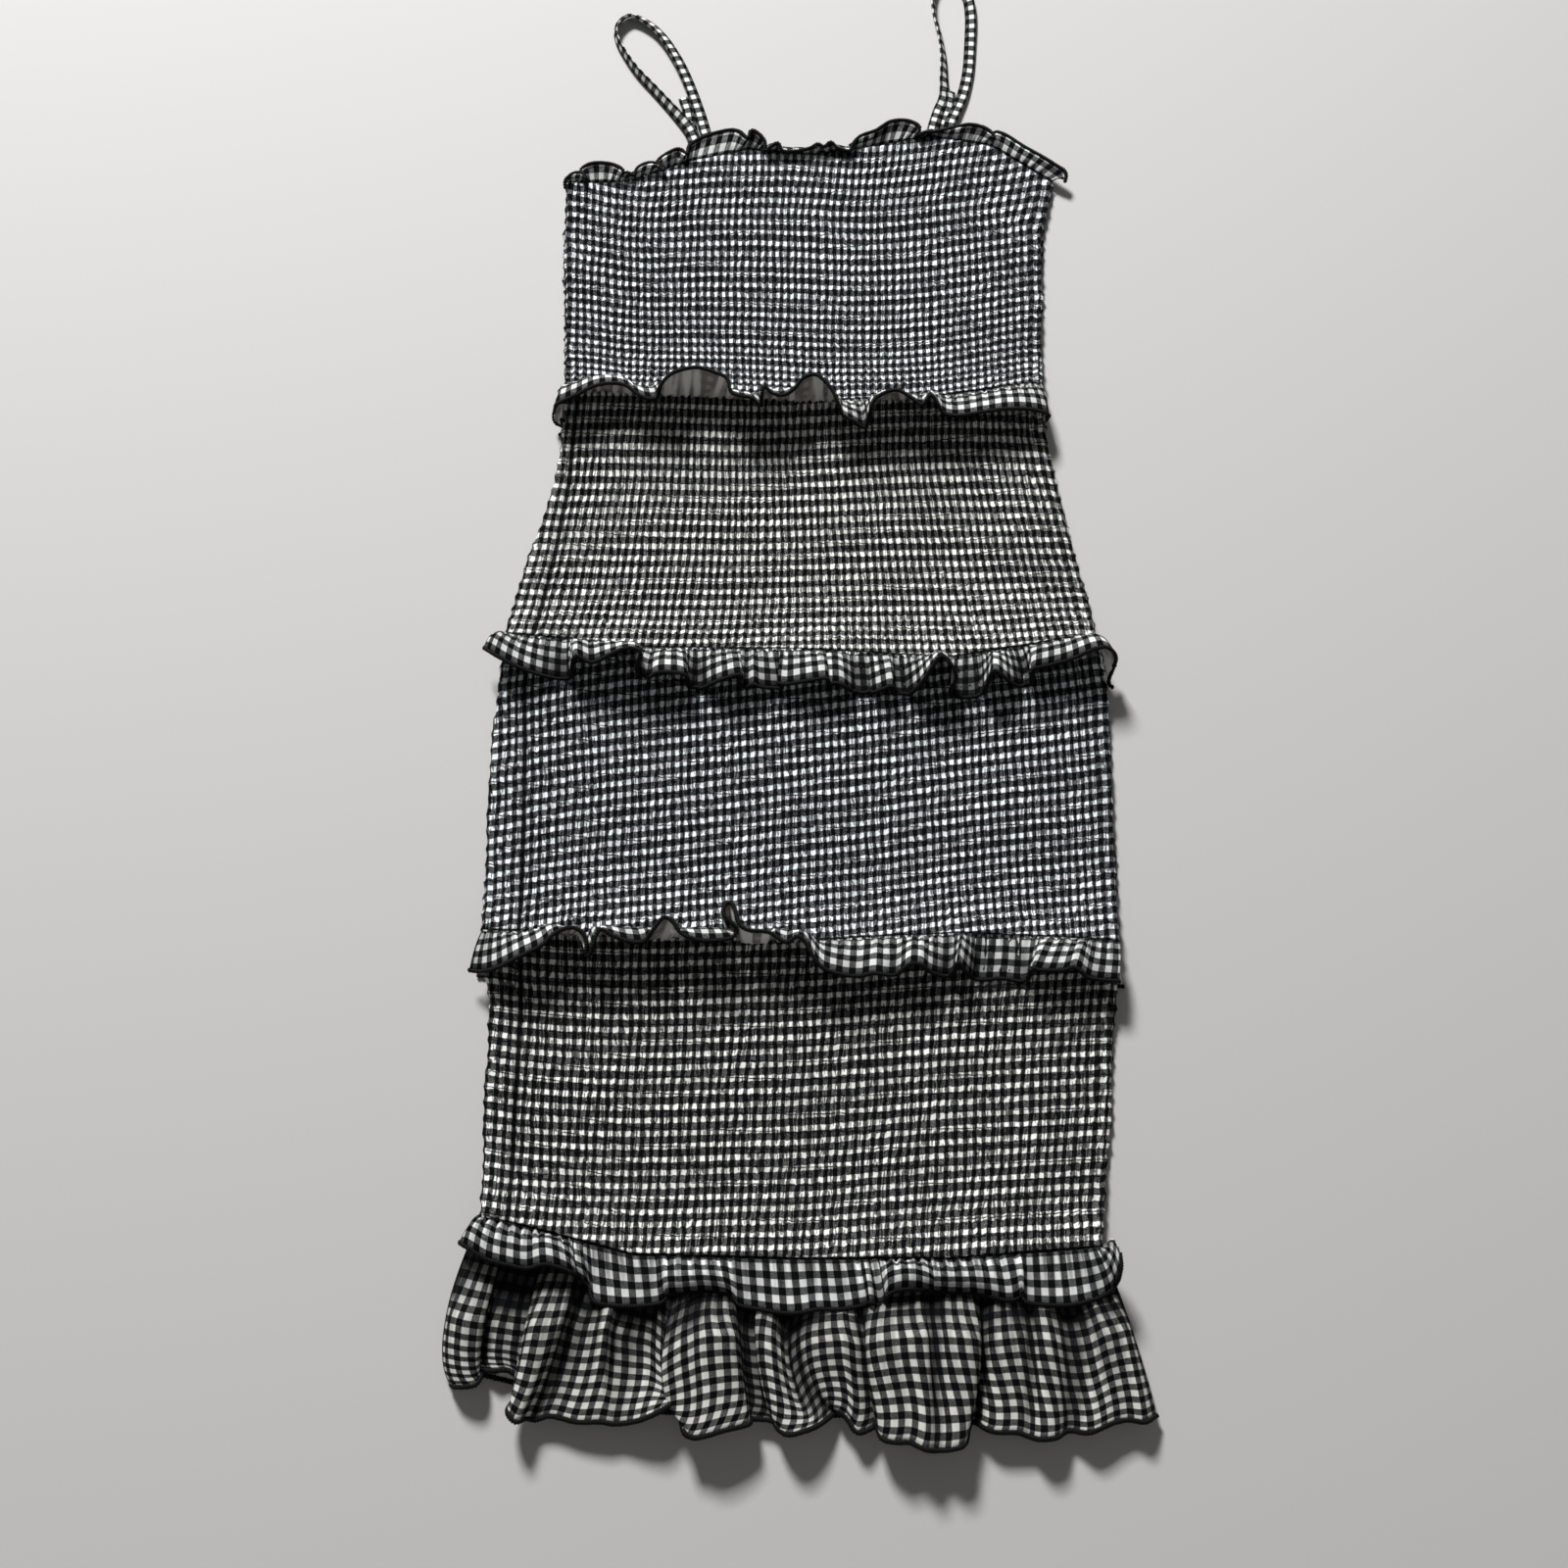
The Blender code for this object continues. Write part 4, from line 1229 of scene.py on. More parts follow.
def underside_material(weave):
    """The dull brown-grey inside, checks just showing through, lightened by painted light and
    highlights.
    """
    material, tree, shader = new_material("gingham_underside", INSIDE_FINISH)
    checks = new_node(tree, "ShaderNodeUVMap", {}, uv_map="checks").outputs[0]
    looks = {"Checks": checks, "Dark": INSIDE_DARK, "Light": INSIDE_LIGHT}
    gingham = new_node(tree, "ShaderNodeGroup", looks, node_tree=weave)
    # Streaks of painted highlight.
    painted_highlights = smooth_step(tree, stretched_noise(tree, checks, HIGHLIGHT_STREAK_SIZE, detail=1.0), *HIGHLIGHT_STREAK_EDGES)
    colour = mixed(tree, painted_highlights, gingham.outputs["Color"], INSIDE_PAINTED_HIGHLIGHTS)
    tree.links.new(colour, shader["Base Color"])
    return material


def thread_material(name, finish):
    """Black thread with finer and paler fibres in it."""
    material, tree, shader = new_material(name, finish)
    place = new_node(tree, "ShaderNodeTexCoord", {}).outputs["Object"]
    fibres = noise(tree, place, FIBRES_A_METRE, dimensions="3D")
    tree.links.new(mixed(tree, fibres, THREAD_BLACK, FIBRE_BLACK), shader["Base Color"])
    return material


def make_materials():
    weave = gingham_group()
    wrinkles = wrinkle_group()
    elastic = elastic_group()
    materials = {
        name: cloth_material(name, weave, wrinkles, elastic if name in TIERS else None)
        for name in CLOTHS
    }
    materials["underside"] = underside_material(weave)
    materials["merrow"] = thread_material("merrow_thread", MERROW_FINISH)
    materials["elastic"] = thread_material("elastic_thread", ELASTIC_FINISH)
    return materials


def puff(down):
    """The rise of the cloth between rows of elastic: 0 at a row, 1 halfway."""
    phase = (down * ROWS) % 1.0
    return np.sqrt(np.clip(np.sin(np.pi * phase), 0, 1))


def gather_wave(across):
    """The gathers of the shirring: flat tops on the white stripes, sharp valleys in the dark."""
    valley = np.abs(np.sin(np.pi * across))
    return 2 * valley**GATHER_ROUNDNESS - 1


def shirring(base, across, down, seed):
    """Puffs and gathers over a panel's plain surface, and the painted shade in its creases."""
    normal = surface_normals(base)
    row = down * ROWS
    strength = MEAN_STRENGTH + unevenness(UNEVEN_STRENGTH, seed, across, row)
    shift = unevenness(UNEVEN_SHIFT, seed + 4, across, row)
    wave = gather_wave(across + shift) * strength
    raised = puff(down)
    edge = np.clip(np.minimum(down, 1 - down) * ROWS * 2, SEAM_STRENGTH, 1)
    height = ROW_RIDGE * (raised - PUFF_UNDER) + GATHER_HEIGHT * wave * edge
    height = height + unevenness(UNEVEN_LUMPS, seed + 1, across, row)
    # On the underside the crests touch the surface and the valleys rise from it.
    facing_down = np.clip(-normal[..., 2], 0, 1)
    crest = (1 - PUFF_UNDER) * ROW_RIDGE + HIGHEST_GATHER * GATHER_HEIGHT
    height = height - facing_down * crest
    # Painted shade in the valleys of the gathers and in the grooves of the elastic.
    plain, valley, groove = PANEL_CREASE_SHADE
    crease = np.clip(plain - valley * wave, 0, 1) + groove * (1 - raised) ** 2
    return base + normal * height[..., None], np.clip(crease, 0, 1)


def wandering(across, down, seed):
    """Sideways drift of the gathers, in repeats, a little different in each row of elastic."""
    row = down * ROWS
    slow = unevenness(SLOW_DRIFT, seed + 2, across, row)
    quick = unevenness(QUICK_DRIFT, seed + 3, across, row)
    return GATHER_WANDER * (slow + quick)


def front_base(tier, place, down):
    """A front panel's plain outer surface, from its side seam round into the right fold."""
    _, side_seam, right = tier_section(tier, down)
    _, back_top, _, top = levels(tier, down)
    meeting = back_top + SEAM_GAP / 2
    start = side_seam + SEAM_GAP / 2
    right_width, right_length = RIGHT_TURN
    left_width, left_length = BODICE_LEFT_TURN if tier == "bodice" else (0.0, 0.0)
    flat = right - right_width - start - left_width
    distance = place * (left_length + flat + right_length)
    turn = np.clip((distance - left_length - flat) / right_length, 0, 1) * math.pi / 2
    x = start + left_width + np.clip(distance - left_length, 0, None)
    x = np.where(turn > 0, right - right_width + right_width * np.sin(turn), x)
    z = meeting + (top - meeting) * np.cos(turn)
    if left_length:
        turn = np.clip(1 - distance / left_length, 0, 1) * math.pi / 2
        x = np.where(turn > 0, start + left_width - left_width * np.sin(turn), x)
        z = np.where(turn > 0, meeting + (top - meeting) * np.cos(turn), z)
    return np.stack([x, tier_y(tier, down, x), z], axis=-1)


def back_base(tier, place, down):
    """A back panel's plain outer surface, from the right fold, underneath, round the left fold."""
    left, side_seam, right = tier_section(tier, down)
    lift, back_top, _, top = levels(tier, down)
    tall = (back_top if tier == "bodice" else top) - lift
    flat = right - left - 2 * BACK_FOLD
    turned = math.pi / 2 * (BACK_FOLD + tall / 2) * BACK_FOLD_SHARE
    over = np.maximum(side_seam - SEAM_GAP / 2 - left - BACK_FOLD, 0.0)
    distance = place * (BACK_START + flat + turned + over)
    begin = np.clip(1 - distance / BACK_START, 0, 1) * math.pi / 2
    x = right - BACK_FOLD - np.clip(distance - BACK_START, 0, flat)
    x = np.where(begin > 0, right - BACK_FOLD + BACK_FOLD * np.sin(begin), x)
    z = lift + (SHIRRED_WALL - BACK_START_GAP) * (1 - np.cos(begin))
    turn = np.clip((distance - BACK_START - flat) / turned, 0, 1) * math.pi
    x = np.where(turn > 0, left + BACK_FOLD - BACK_FOLD * np.sin(turn), x)
    z = np.where(turn > 0, lift + tall / 2 * (1 - np.cos(turn)), z)
    x = x + np.clip(distance - BACK_START - flat - turned, 0, None)
    return np.stack([x, tier_y(tier, down, x), z], axis=-1)


def tier_grid(tier, side, seed):
    """The points, checks, painted shade, plain surface and rows of elastic of a shirred panel."""
    count = TIERS[tier]["repeats"][side]
    faces = FACES_A_REPEAT[side]
    columns = count * faces + 1
    rows = ROWS * FACES_A_ROW[side] + 1
    across, down = np.meshgrid(np.arange(columns) / faces, np.linspace(0, 1, rows))
    taper = np.clip(np.minimum(across, count - across) / WANDER_MARGIN, 0, 1)
    place = (across + taper * wandering(across, down, seed)) / count
    base = (front_base if side == "front" else back_base)(tier, place, down)
    points, crease = shirring(base, across, down, seed)
    # The cloth dips into its side seam, and painted shade there draws it as a dark line.
    from_seam = across if side == "front" else count - across
    dip = np.exp(-((SIDE_SEAM_NARROW * from_seam) ** 2))
    points[..., 2] -= SIDE_SEAM_DIP * dip
    crease = crease + SIDE_SEAM_DARK * dip
    checks = np.stack([across, -checks_down(tier, base[..., 0], base[..., 1], down)], axis=-1)
    return points, checks, crease, base, down * ROWS


def add_tier(tier, side, material, seed):
    """A shirred panel, and the surface that its elastic follows."""
    points, checks, crease, base, rows = tier_grid(tier, side, seed)
    name = f"{tier}_{side}"
    faces_up = side == "front"
    if not faces_up:
        points[..., 2] = np.maximum(points[..., 2], FLOOR_CLEARANCE)
    creases = {"crease": crease, "elastic": rows}
    obj = add_grid(name + "_cloth", points, checks, [material], faces_up, -1.0, **creases)
    hang(obj, name)
    return obj, points if faces_up else base


def tier_top(tier, x, y):
    """The height of a tier's front, ridges included, or the surface underneath beside it."""
    left, _, right = tier_section(tier, FRILL_PLACE)
    across = (x - left) / (right - left)
    upper, lower = (seam_y(seam, np.clip(across, 0, 1)) for seam in TIERS[tier]["seams"])
    down = np.clip((upper - y) / (upper - lower), 0, 1)
    ridge = np.clip(2 * ROWS * np.minimum(down, 1 - down), 0, 1)
    height = levels(tier, down)[3] + ridge * ROW_RIDGE
    return np.where((across < 0) | (across > 1), 0.0, height)


def across_seam(seam, x):
    """The place across the tube, from 0 to 1, of an x on a seam."""
    left, right = tube_edges(seam)
    return np.clip((x - left) / (right - left), 0, 1)


def over_tiers(seam, x, y):
    """The height of the tier above or below a seam."""
    upper, lower = [tier for tier, facts in TIERS.items() if seam in facts["seams"]]
    above = y > seam_y(seam, across_seam(seam, x))
    return np.where(above, tier_top(upper, x, y), tier_top(lower, x, y))


def over_flounce(x, y):
    """The height at which the hem frill lies on the flounce, or the floor's beside it."""
    left, right = tube_edges("hem")
    distance = np.maximum(seam_y("hem", across_seam("hem", x)) - y, 0.0)
    height = from_table(BELOW_SEAM, 1, distance) + BACK_WAVE_HEIGHT + 2 * FRILL_WALL + SEAM_GAP
    height = height + from_table(BELOW_SEAM, 2, distance) + FLOUNCE_CLEARANCE
    return np.where((x < left - FLOUNCE_SPREAD) | (x > right + FLOUNCE_SPREAD), 0.0, height)


def even_places(edge_points, count):
    """Places from 0 to 1 that are evenly spaced along a finely sampled edge, and its length."""
    steps = np.linalg.norm(np.diff(edge_points, axis=0), axis=1)
    run = np.concatenate([[0], np.cumsum(steps)])
    fine = np.linspace(0, 1, len(edge_points))
    return np.interp(np.linspace(0, run[-1], count), run, fine), run[-1]


def hanging_arc(start, end, length, part):
    """Points on arcs of cloth of that length between two points, bulging to the face side."""
    chord = end - start
    squared = (chord**2).sum(axis=-1)
    # A shallow arc's sag, from its length and its chord.
    sag = np.sqrt(np.maximum(length**2 - squared, 0.0) * 3 / 16)
    lean = np.clip(chord[..., 1] / LEAN_REACH, -1, 1)
    flat = np.maximum(np.hypot(chord[..., 0], chord[..., 1]), LEAN_REACH / 2)
    face = np.stack([0 * lean, -chord[..., 2] * lean, flat], axis=-1)
    face /= np.linalg.norm(face, axis=-1, keepdims=True)
    return start + chord * part[..., None] + face * (4 * sag * part * (1 - part))[..., None]


def sewn_at(folds, number, sewn, seam):
    """The x on a seam of places across the picture, from the first fold's to the last one's."""
    left, right = tube_edges(seam)
    ends = (left + FRILL_INSET, right - FRILL_INSET)
    return np.interp(sewn, (folds[0][number], folds[-1][number]), ends)


def frill_points(folds, seam, clear_of, place, part):
    """A front frill from its seam to its edge, kept over the height that clear_of gives."""
    left, right = tube_edges(seam)
    seam_top = float(clear_of(np.array(0.5 * (left + right)), np.array(seam_y(seam, 0.5))))
    lowest = SEAM_GAP + FRILL_WALL / 2 + FRILL_CLEARANCE
    across, down, sewn, distance = smooth_rows(folds, place * (len(folds) - 1))
    x = sewn_at(folds, 2, sewn, seam)
    y = seam_y(seam, across_seam(seam, x)) - FRILL_START
    start = np.stack([x, y, seam_top + lowest + 0 * y], axis=-1)
    end = seen_near(start, across, down, distance)
    points = hanging_arc(start, end, FRILL_DEPTH, part)
    points[..., 2] = np.maximum(points[..., 2], clear_of(points[..., 0], points[..., 1]) + lowest)
    return points


def neck_frill_points(place, part):
    """The front neck frill, which stands up from its seam."""
    across, down, sewn, rise = smooth_rows(NECK_FRILL, place * (len(NECK_FRILL) - 1))
    x = sewn_at(NECK_FRILL, 2, sewn, "neck")
    y = seam_y("neck", across_seam("neck", x)) + NECK_FRILL_START
    z = levels("bodice", np.array(0.0))[2] + SHIRRED_WALL / 2
    start = np.stack([x, y, z + 0 * y], axis=-1)
    end = np.stack([*seen_at(across, down, z + rise), z + rise], axis=-1)
    # Where the edge is near the seam the rest of the depth is turned in behind, out of sight.
    reach = np.linalg.norm(end - start, axis=-1)
    times, more = NECK_FRILL_SLACK
    return hanging_arc(start, end, np.minimum(NECK_FRILL_DEPTH, times * reach + more), part)


def flounce_points(place, part):
    """The flounce from its seam, through each fold's middle, to its edge."""
    folds = smooth_rows(FLOUNCE, place * (len(FLOUNCE) - 1))
    sewn, across, down, rise, edge_across, edge_down, edge_rise = folds
    rise = FLOUNCE_FULLNESS * rise
    edge_rise = FLOUNCE_FULLNESS * edge_rise
    over_back = BACK_WAVE_HEIGHT + 1.5 * FRILL_WALL + SEAM_GAP
    start_x = sewn_at(FLOUNCE, 0, sewn, "hem")
    start_y = seam_y("hem", across_seam("hem", start_x)) - FRILL_START
    middle_x, middle_y = seen_at(across, down, over_back + rise)
    edge_x, edge_y = seen_at(edge_across, edge_down, over_back + edge_rise)
    # The curve through the three of them.
    at_start = 2 * (part - 0.5) * (part - 1)
    at_middle = 4 * part * (1 - part)
    at_edge = 2 * part * (part - 0.5)
    x = at_start * start_x + at_middle * middle_x + at_edge * edge_x
    y = at_start * start_y + at_middle * middle_y + at_edge * edge_y
    distance = part * (FLOUNCE_DEPTH - FLOUNCE_TAKEN_UP)
    under = from_table(BELOW_SEAM, 1, distance) + from_table(BELOW_SEAM, 2, distance) + over_back
    # A fold keeps its height from the middle up to near the frill, and sinks under it.
    shoulder = np.clip(part / FLOUNCE_SHOULDER, 0, 1) ** 2
    steady = np.clip(2 * part - 1, 0, 1)
    raised = shoulder * ((1 - steady) * rise + steady * edge_rise)
    return np.stack([x, y, under + np.maximum(raised, 0.0)], axis=-1)


def back_wave(place):
    """The waves across a back piece, from 0 to 1."""
    return 0.5 - 0.5 * np.cos(2 * math.pi * BACK_WAVES * place)


def back_flounce_points(place, part):
    """The back flounce, a little wider towards its edge."""
    left, right = tube_edges("hem")
    distance = FRILL_START + part * (FLOUNCE_DEPTH - BACK_FLOUNCE_TAKEN_UP)
    x = left + BACK_FLOUNCE_INSET + place * (right - left - 2 * BACK_FLOUNCE_INSET)
    x = x + (x - 0.5 * (left + right)) * BACK_FLOUNCE_FLARE * part
    y = seam_y("hem", place) - distance
    wave = BACK_WAVE_HEIGHT * back_wave(place) * part
    z = from_table(BELOW_SEAM, 1, distance) + FRILL_WALL / 2 + wave
    return np.stack([x, y, z], axis=-1)


def back_frill_points(seam, place, part):
    """A back frill, which drops from its seam to the floor."""
    left, right = tube_edges(seam)
    x = left - BACK_OVERHANG * part + place * (right - left + 2 * BACK_OVERHANG * part)
    y = seam_y(seam, place) - FRILL_START - part * (FRILL_DEPTH - BACK_FRILL_TAKEN_UP)
    sewn = BELOW_SEAM[0][1] - SEAM_GAP - FRILL_WALL / 2
    flat = FRILL_WALL / 2 + BACK_WAVE_HEIGHT * back_wave(place)
    drop = np.clip(part * 2, 0, 1)
    return np.stack([x, y, sewn + (flat - sewn) * drop], axis=-1)


def back_neck_frill_points(place, part):
    """The back neck frill, flat on the floor, with its neckline curved down at the middle."""
    left, right = tube_edges("neck")
    reach = spaced_value(BACK_NECK_REACHES, place)
    x = left + FRILL_INSET + place * (right - left - 2 * FRILL_INSET)
    y = seam_y("neck", place) + NECK_FRILL_START + part * (reach - NECK_FRILL_START)
    y = y - BACK_NECK_DIP * np.sin(np.pi * place) ** 4
    return np.stack([x, y, FRILL_WALL / 2 + 0 * y], axis=-1)


def recess(height):
    """How deep each point lies between the folds beside it: 1 or more deep down, negative on a fold."""
    reach = height.shape[1] // RECESS_PART
    window = 2 * reach + 1
    padded = np.pad(height, ((0, 0), (reach, reach)), mode="edge")
    total = np.cumsum(np.pad(padded, ((0, 0), (1, 0))), axis=1)
    around = (total[:, window:] - total[:, :-window]) / window
    return (around - height) / RECESS_DEPTH


def cloth_grid(surface, size, depth, gathers, settled, seed):
    """A grid on surface(place, part) that is even along its free edge, gathered at its seam.

    Where it is settled the checks keep their size along every row, and a painted shadow of the frill
    above lies on it.
    Elsewhere they keep it along the edge.
    """
    columns, rows = size
    samples = np.linspace(0, 1, EDGE_SAMPLES)
    places, length = even_places(surface(samples, np.ones_like(samples)), columns)
    place, part = np.meshgrid(places, np.linspace(0, 1, rows))
    points = surface(place, part)
    steps = np.linalg.norm(np.diff(points, axis=1), axis=2)
    run = np.cumsum(np.pad(steps, ((0, 0), (1, 0))), axis=1)
    even = np.linspace(0, 1, columns)[None, :]
    across = (even + settled * (run / run[:, -1:] - even)) * length / REPEAT_ACROSS
    main = gather_line(MAIN_GATHERS, seed, across)
    fine = gather_line(FINE_GATHERS, seed + 1, across)
    fade = (1 - part) ** GATHER_FADE
    height = gathers * fade * (GATHER_SHARES[0] * main + GATHER_SHARES[1] * fine)
    points = points + surface_normals(points) * height[..., None]
    # Painted shade in the valleys of the gathers and along the seam.
    small = gather_line(SHADE_LINE_GATHERS, seed, across, line=5)
    plain, on_main, on_small = FRILL_CREASE_SHADE
    at_seam = np.clip(SEAM_SHADE_REACH - part, 0, 1) / SEAM_SHADE_REACH * SEAM_SHADE
    crease = np.clip(fade * (plain - on_main * main - on_small * small) + at_seam, 0, 1)
    crease = crease * min(1.0, depth / FRILL_DEPTH) ** 2
    # Painted shade in the recesses between folds.
    sunk = recess(points[..., 2])
    crease = np.maximum(crease, np.clip(sunk, 0, 1))
    # A settled piece gets a painted shadow of the frill above it.
    if settled:
        painted_frill_shadow = np.clip((SHADE_END - part) / SHADE_FADE, 0, 1)
        painted_frill_shadow = painted_frill_shadow * np.clip(1 + sunk, CREST_SHADE, 1)
        crease = np.maximum(RECESS_SHADE * crease, painted_frill_shadow)
    checks = np.stack([across, -part * depth / REPEAT_DOWN], axis=-1)
    return points, checks, crease, length


def strap_grid(rows, thickness):
    """A flattened tube along a strap, turned by its roll and lifted to rest, with its checks."""
    length = np.hypot(*np.diff(np.array(rows)[:, :2], axis=0).T).sum()
    stations = round(length / STRAP_STATION)
    x, y, lift, roll = smooth_rows(rows, np.linspace(0, len(rows) - 1, stations))
    heading = np.arctan2(np.gradient(y), np.gradient(x))
    angle = np.radians(roll)[:, None]
    side = np.stack([-np.sin(heading), np.cos(heading), 0 * x], axis=-1)
    up = np.array([0.0, 0.0, 1.0])
    wide = side * np.cos(angle) + up * np.sin(angle)
    thin = up * np.cos(angle) - side * np.sin(angle)
    turn = np.linspace(0, 2 * math.pi, STRAP_SIDES + 1)
    broad, thick = (
        np.sign(wave) * np.abs(wave) ** STRAP_ROUNDNESS * size / 2
        for wave, size in ((np.cos(turn), STRAP_WIDTH), (np.sin(turn), thickness))
    )
    offsets = wide[:, None] * broad[None, :, None] + thin[:, None] * thick[None, :, None]
    height = np.maximum(lift, 0.0) - offsets[..., 2].min(axis=1)
    middle = np.stack([x, y, height], axis=-1)
    run = np.concatenate([[0], np.cumsum(np.hypot(np.diff(x), np.diff(y)))])
    girth = np.concatenate([[0], np.cumsum(np.hypot(np.diff(broad), np.diff(thick)))])
    checks = np.stack(np.meshgrid(girth / STRAP_REPEAT, run / STRAP_REPEAT), axis=-1)
    return middle[:, None] + offsets, checks, run[-1]


def add_strap(name, rows, end_rows, material):
    """A strap and its folded end, as open tubes of cloth, and their length."""
    bm = bmesh.new()
    layer = bm.loops.layers.uv.new("checks")
    length = 0.0
    for table, thickness in ((rows, STRAP_THICK), (end_rows, STRAP_END_THICK)):
        points, checks, run = strap_grid(table, thickness)
        length += run
        rings = [[bm.verts.new(point) for point in ring] for ring in placed(points[:, :-1])]
        for i, (ring, following) in enumerate(zip(rings, rings[1:])):
            for j in range(STRAP_SIDES):
                k = (j + 1) % STRAP_SIDES
                face = bm.faces.new((ring[j], ring[k], following[k], following[j]))
                face.smooth = True
                corners = ((i, j), (i, j + 1), (i + 1, j + 1), (i + 1, j))
                for loop, (row, column) in zip(face.loops, corners):
                    loop[layer].uv = checks[row, column]
    bmesh.ops.recalc_face_normals(bm, faces=bm.faces)
    mesh = bpy.data.meshes.new(name)
    bm.to_mesh(mesh)
    bm.free()
    mesh.materials.append(material)
    obj = add_object(name + "_cloth", mesh)
    add_wall(obj, -1.0)
    hang(obj, name)
    return obj, length


def stitch_tree():
    """Geometry nodes that set overlapping stitches along the edges of a mesh."""
    tree, given, result = new_group(
        "stitches_on_path",
        [
            ("Geometry", "NodeSocketGeometry", None),
            ("Stitch Pitch", "NodeSocketFloat", 0.0015),
            ("Stitch Length", "NodeSocketFloat", 0.0023),
            ("Stitch Width", "NodeSocketFloat", 0.0033),
            ("Stitch Height", "NodeSocketFloat", 0.0027),
            ("Slant", "NodeSocketFloat", 0.5),
            ("Unevenness", "NodeSocketFloat", 0.1),
            ("Sides", "NodeSocketInt", 6),
            ("Rings", "NodeSocketInt", 4),
            ("Seed", "NodeSocketInt", 7),
            ("Material", "NodeSocketMaterial", None),
        ],
        [("Geometry", "NodeSocketGeometry")],
        kind="GeometryNodeTree",
    )
    node = partial(new_node, tree)

    curve = node("GeometryNodeMeshToCurve", {"Mesh": given["Geometry"]}).outputs["Curve"]
    spacing = {"Curve": curve, "Length": given["Stitch Pitch"]}
    points = node("GeometryNodeResampleCurve", spacing, mode="LENGTH").outputs["Curve"]

    shape = {"Radius": 0.5, "Segments": given["Sides"], "Rings": given["Rings"]}
    bead = node("GeometryNodeMeshUVSphere", shape).outputs["Mesh"]
    smooth = node("GeometryNodeSetShadeSmooth", {"Geometry": bead}).outputs["Geometry"]

    tangent = node("GeometryNodeInputTangent", {}).outputs[0]
    along = {"axis": "X", "pivot_axis": "Z"}
    align = node("FunctionNodeAlignRotationToVector", {"Vector": tangent}, **along).outputs[0]
    slant = node("ShaderNodeCombineXYZ", {"Z": given["Slant"]}).outputs[0]
    slanted = node("FunctionNodeEulerToRotation", {0: slant}).outputs[0]
    turns = {"Rotation": align, "Rotate By": slanted}
    turn = node("FunctionNodeRotateRotation", turns, rotation_space="LOCAL").outputs[0]

    axes = {"X": "Stitch Length", "Y": "Stitch Width", "Z": "Stitch Height"}
    sizes = {axis: given[socket_name] for axis, socket_name in axes.items()}
    size = node("ShaderNodeCombineXYZ", sizes).outputs[0]
    least = math_node(tree, "SUBTRACT", 1.0, given["Unevenness"])
    # A Random Value node's float Min and Max are its inputs 2 and 3, and its float is output 1.
    spread = {2: least, 3: 1.0, "Seed": given["Seed"]}
    uneven = node("FunctionNodeRandomValue", spread, data_type="FLOAT").outputs[1]
    scale = {0: size, "Scale": uneven}
    scaled = node("ShaderNodeVectorMath", scale, operation="SCALE").outputs[0]

    stitch = {"Points": points, "Instance": smooth, "Rotation": turn, "Scale": scaled}
    stitches = node("GeometryNodeInstanceOnPoints", stitch).outputs[0]
    realized = node("GeometryNodeRealizeInstances", {0: stitches}).outputs[0]
    finish = {"Geometry": realized, "Material": given["Material"]}
    finished = node("GeometryNodeSetMaterial", finish).outputs[0]
    tree.links.new(finished, result["Geometry"])
    return tree


def add_stitches(name, paths, tree, material, sizes):
    """Stitches along some paths of points, made by the tree and kept as a plain mesh."""
    bm = bmesh.new()
    for path in paths:
        verts = [bm.verts.new(point) for point in placed(path)]
        for pair in zip(verts, verts[1:]):
            bm.edges.new(pair)
    mesh = bpy.data.meshes.new(name + "_path")
    bm.to_mesh(mesh)
    bm.free()
    source = add_object(name + "_path", mesh)
    modifier = source.modifiers.new("stitches", "NODES")
    modifier.node_group = tree
    identifiers = {
        item.name: item.identifier
        for item in tree.interface.items_tree
        if item.item_type == "SOCKET" and item.in_out == "INPUT"
    }
    for setting, value in {**sizes, "Material": material}.items():
        modifier[identifiers[setting]] = value
    graph = bpy.context.evaluated_depsgraph_get()
    finished = bpy.data.meshes.new_from_object(source.evaluated_get(graph))
    finished.name = name
    bpy.data.objects.remove(source, do_unlink=True)
    obj = add_object(name, finished)
    hang(obj, None)
    return obj


def add_merrow_edge(name, points, tree, material):
    """The overlocked edge of a gathered piece."""
    side = "front" if "front" in name else "back"
    thick = FLOUNCE_MERROW if name.startswith("flounce") else 1.0
    sizes = {
        **MERROW_STITCHES[side],
        "Stitch Width": MERROW_WIDTH * thick * MM,
        "Stitch Height": MERROW_HEIGHT * thick * MM,
    }
    edge_name = name + "_merrow_edge"
    return add_stitches(edge_name, [points[-1]], tree, material, sizes)


def add_elastic(name, side, surface, tree, material):
    """The rows of shirring stitches on a panel, each in the groove between two puffs."""
    grooves = slice(FACES_A_ROW[side], -1, FACES_A_ROW[side])
    lifted = surface + ELASTIC_LIFT * surface_normals(surface)
    # The stitches stop two points short of each side.
    rows = lifted[grooves, 2:-2]
    sizes = {"Stitch Pitch": ELASTIC_PITCH[side], **ELASTIC_STITCHES}
    return add_stitches(name + "_elastic", rows, tree, material, sizes)


def add_tiers(materials, stitches):
    """Each tier's back and front, with their rows of elastic."""
    for number, (tier, facts) in enumerate(TIERS.items()):
        for side in ("back", "front"):
            seed = 10 * number + (5 if side == "back" else 0)
            obj, surface = add_tier(tier, side, materials[tier], seed)
            elastic = add_elastic(f"{tier}_{side}", side, surface, stitches, materials["elastic"])


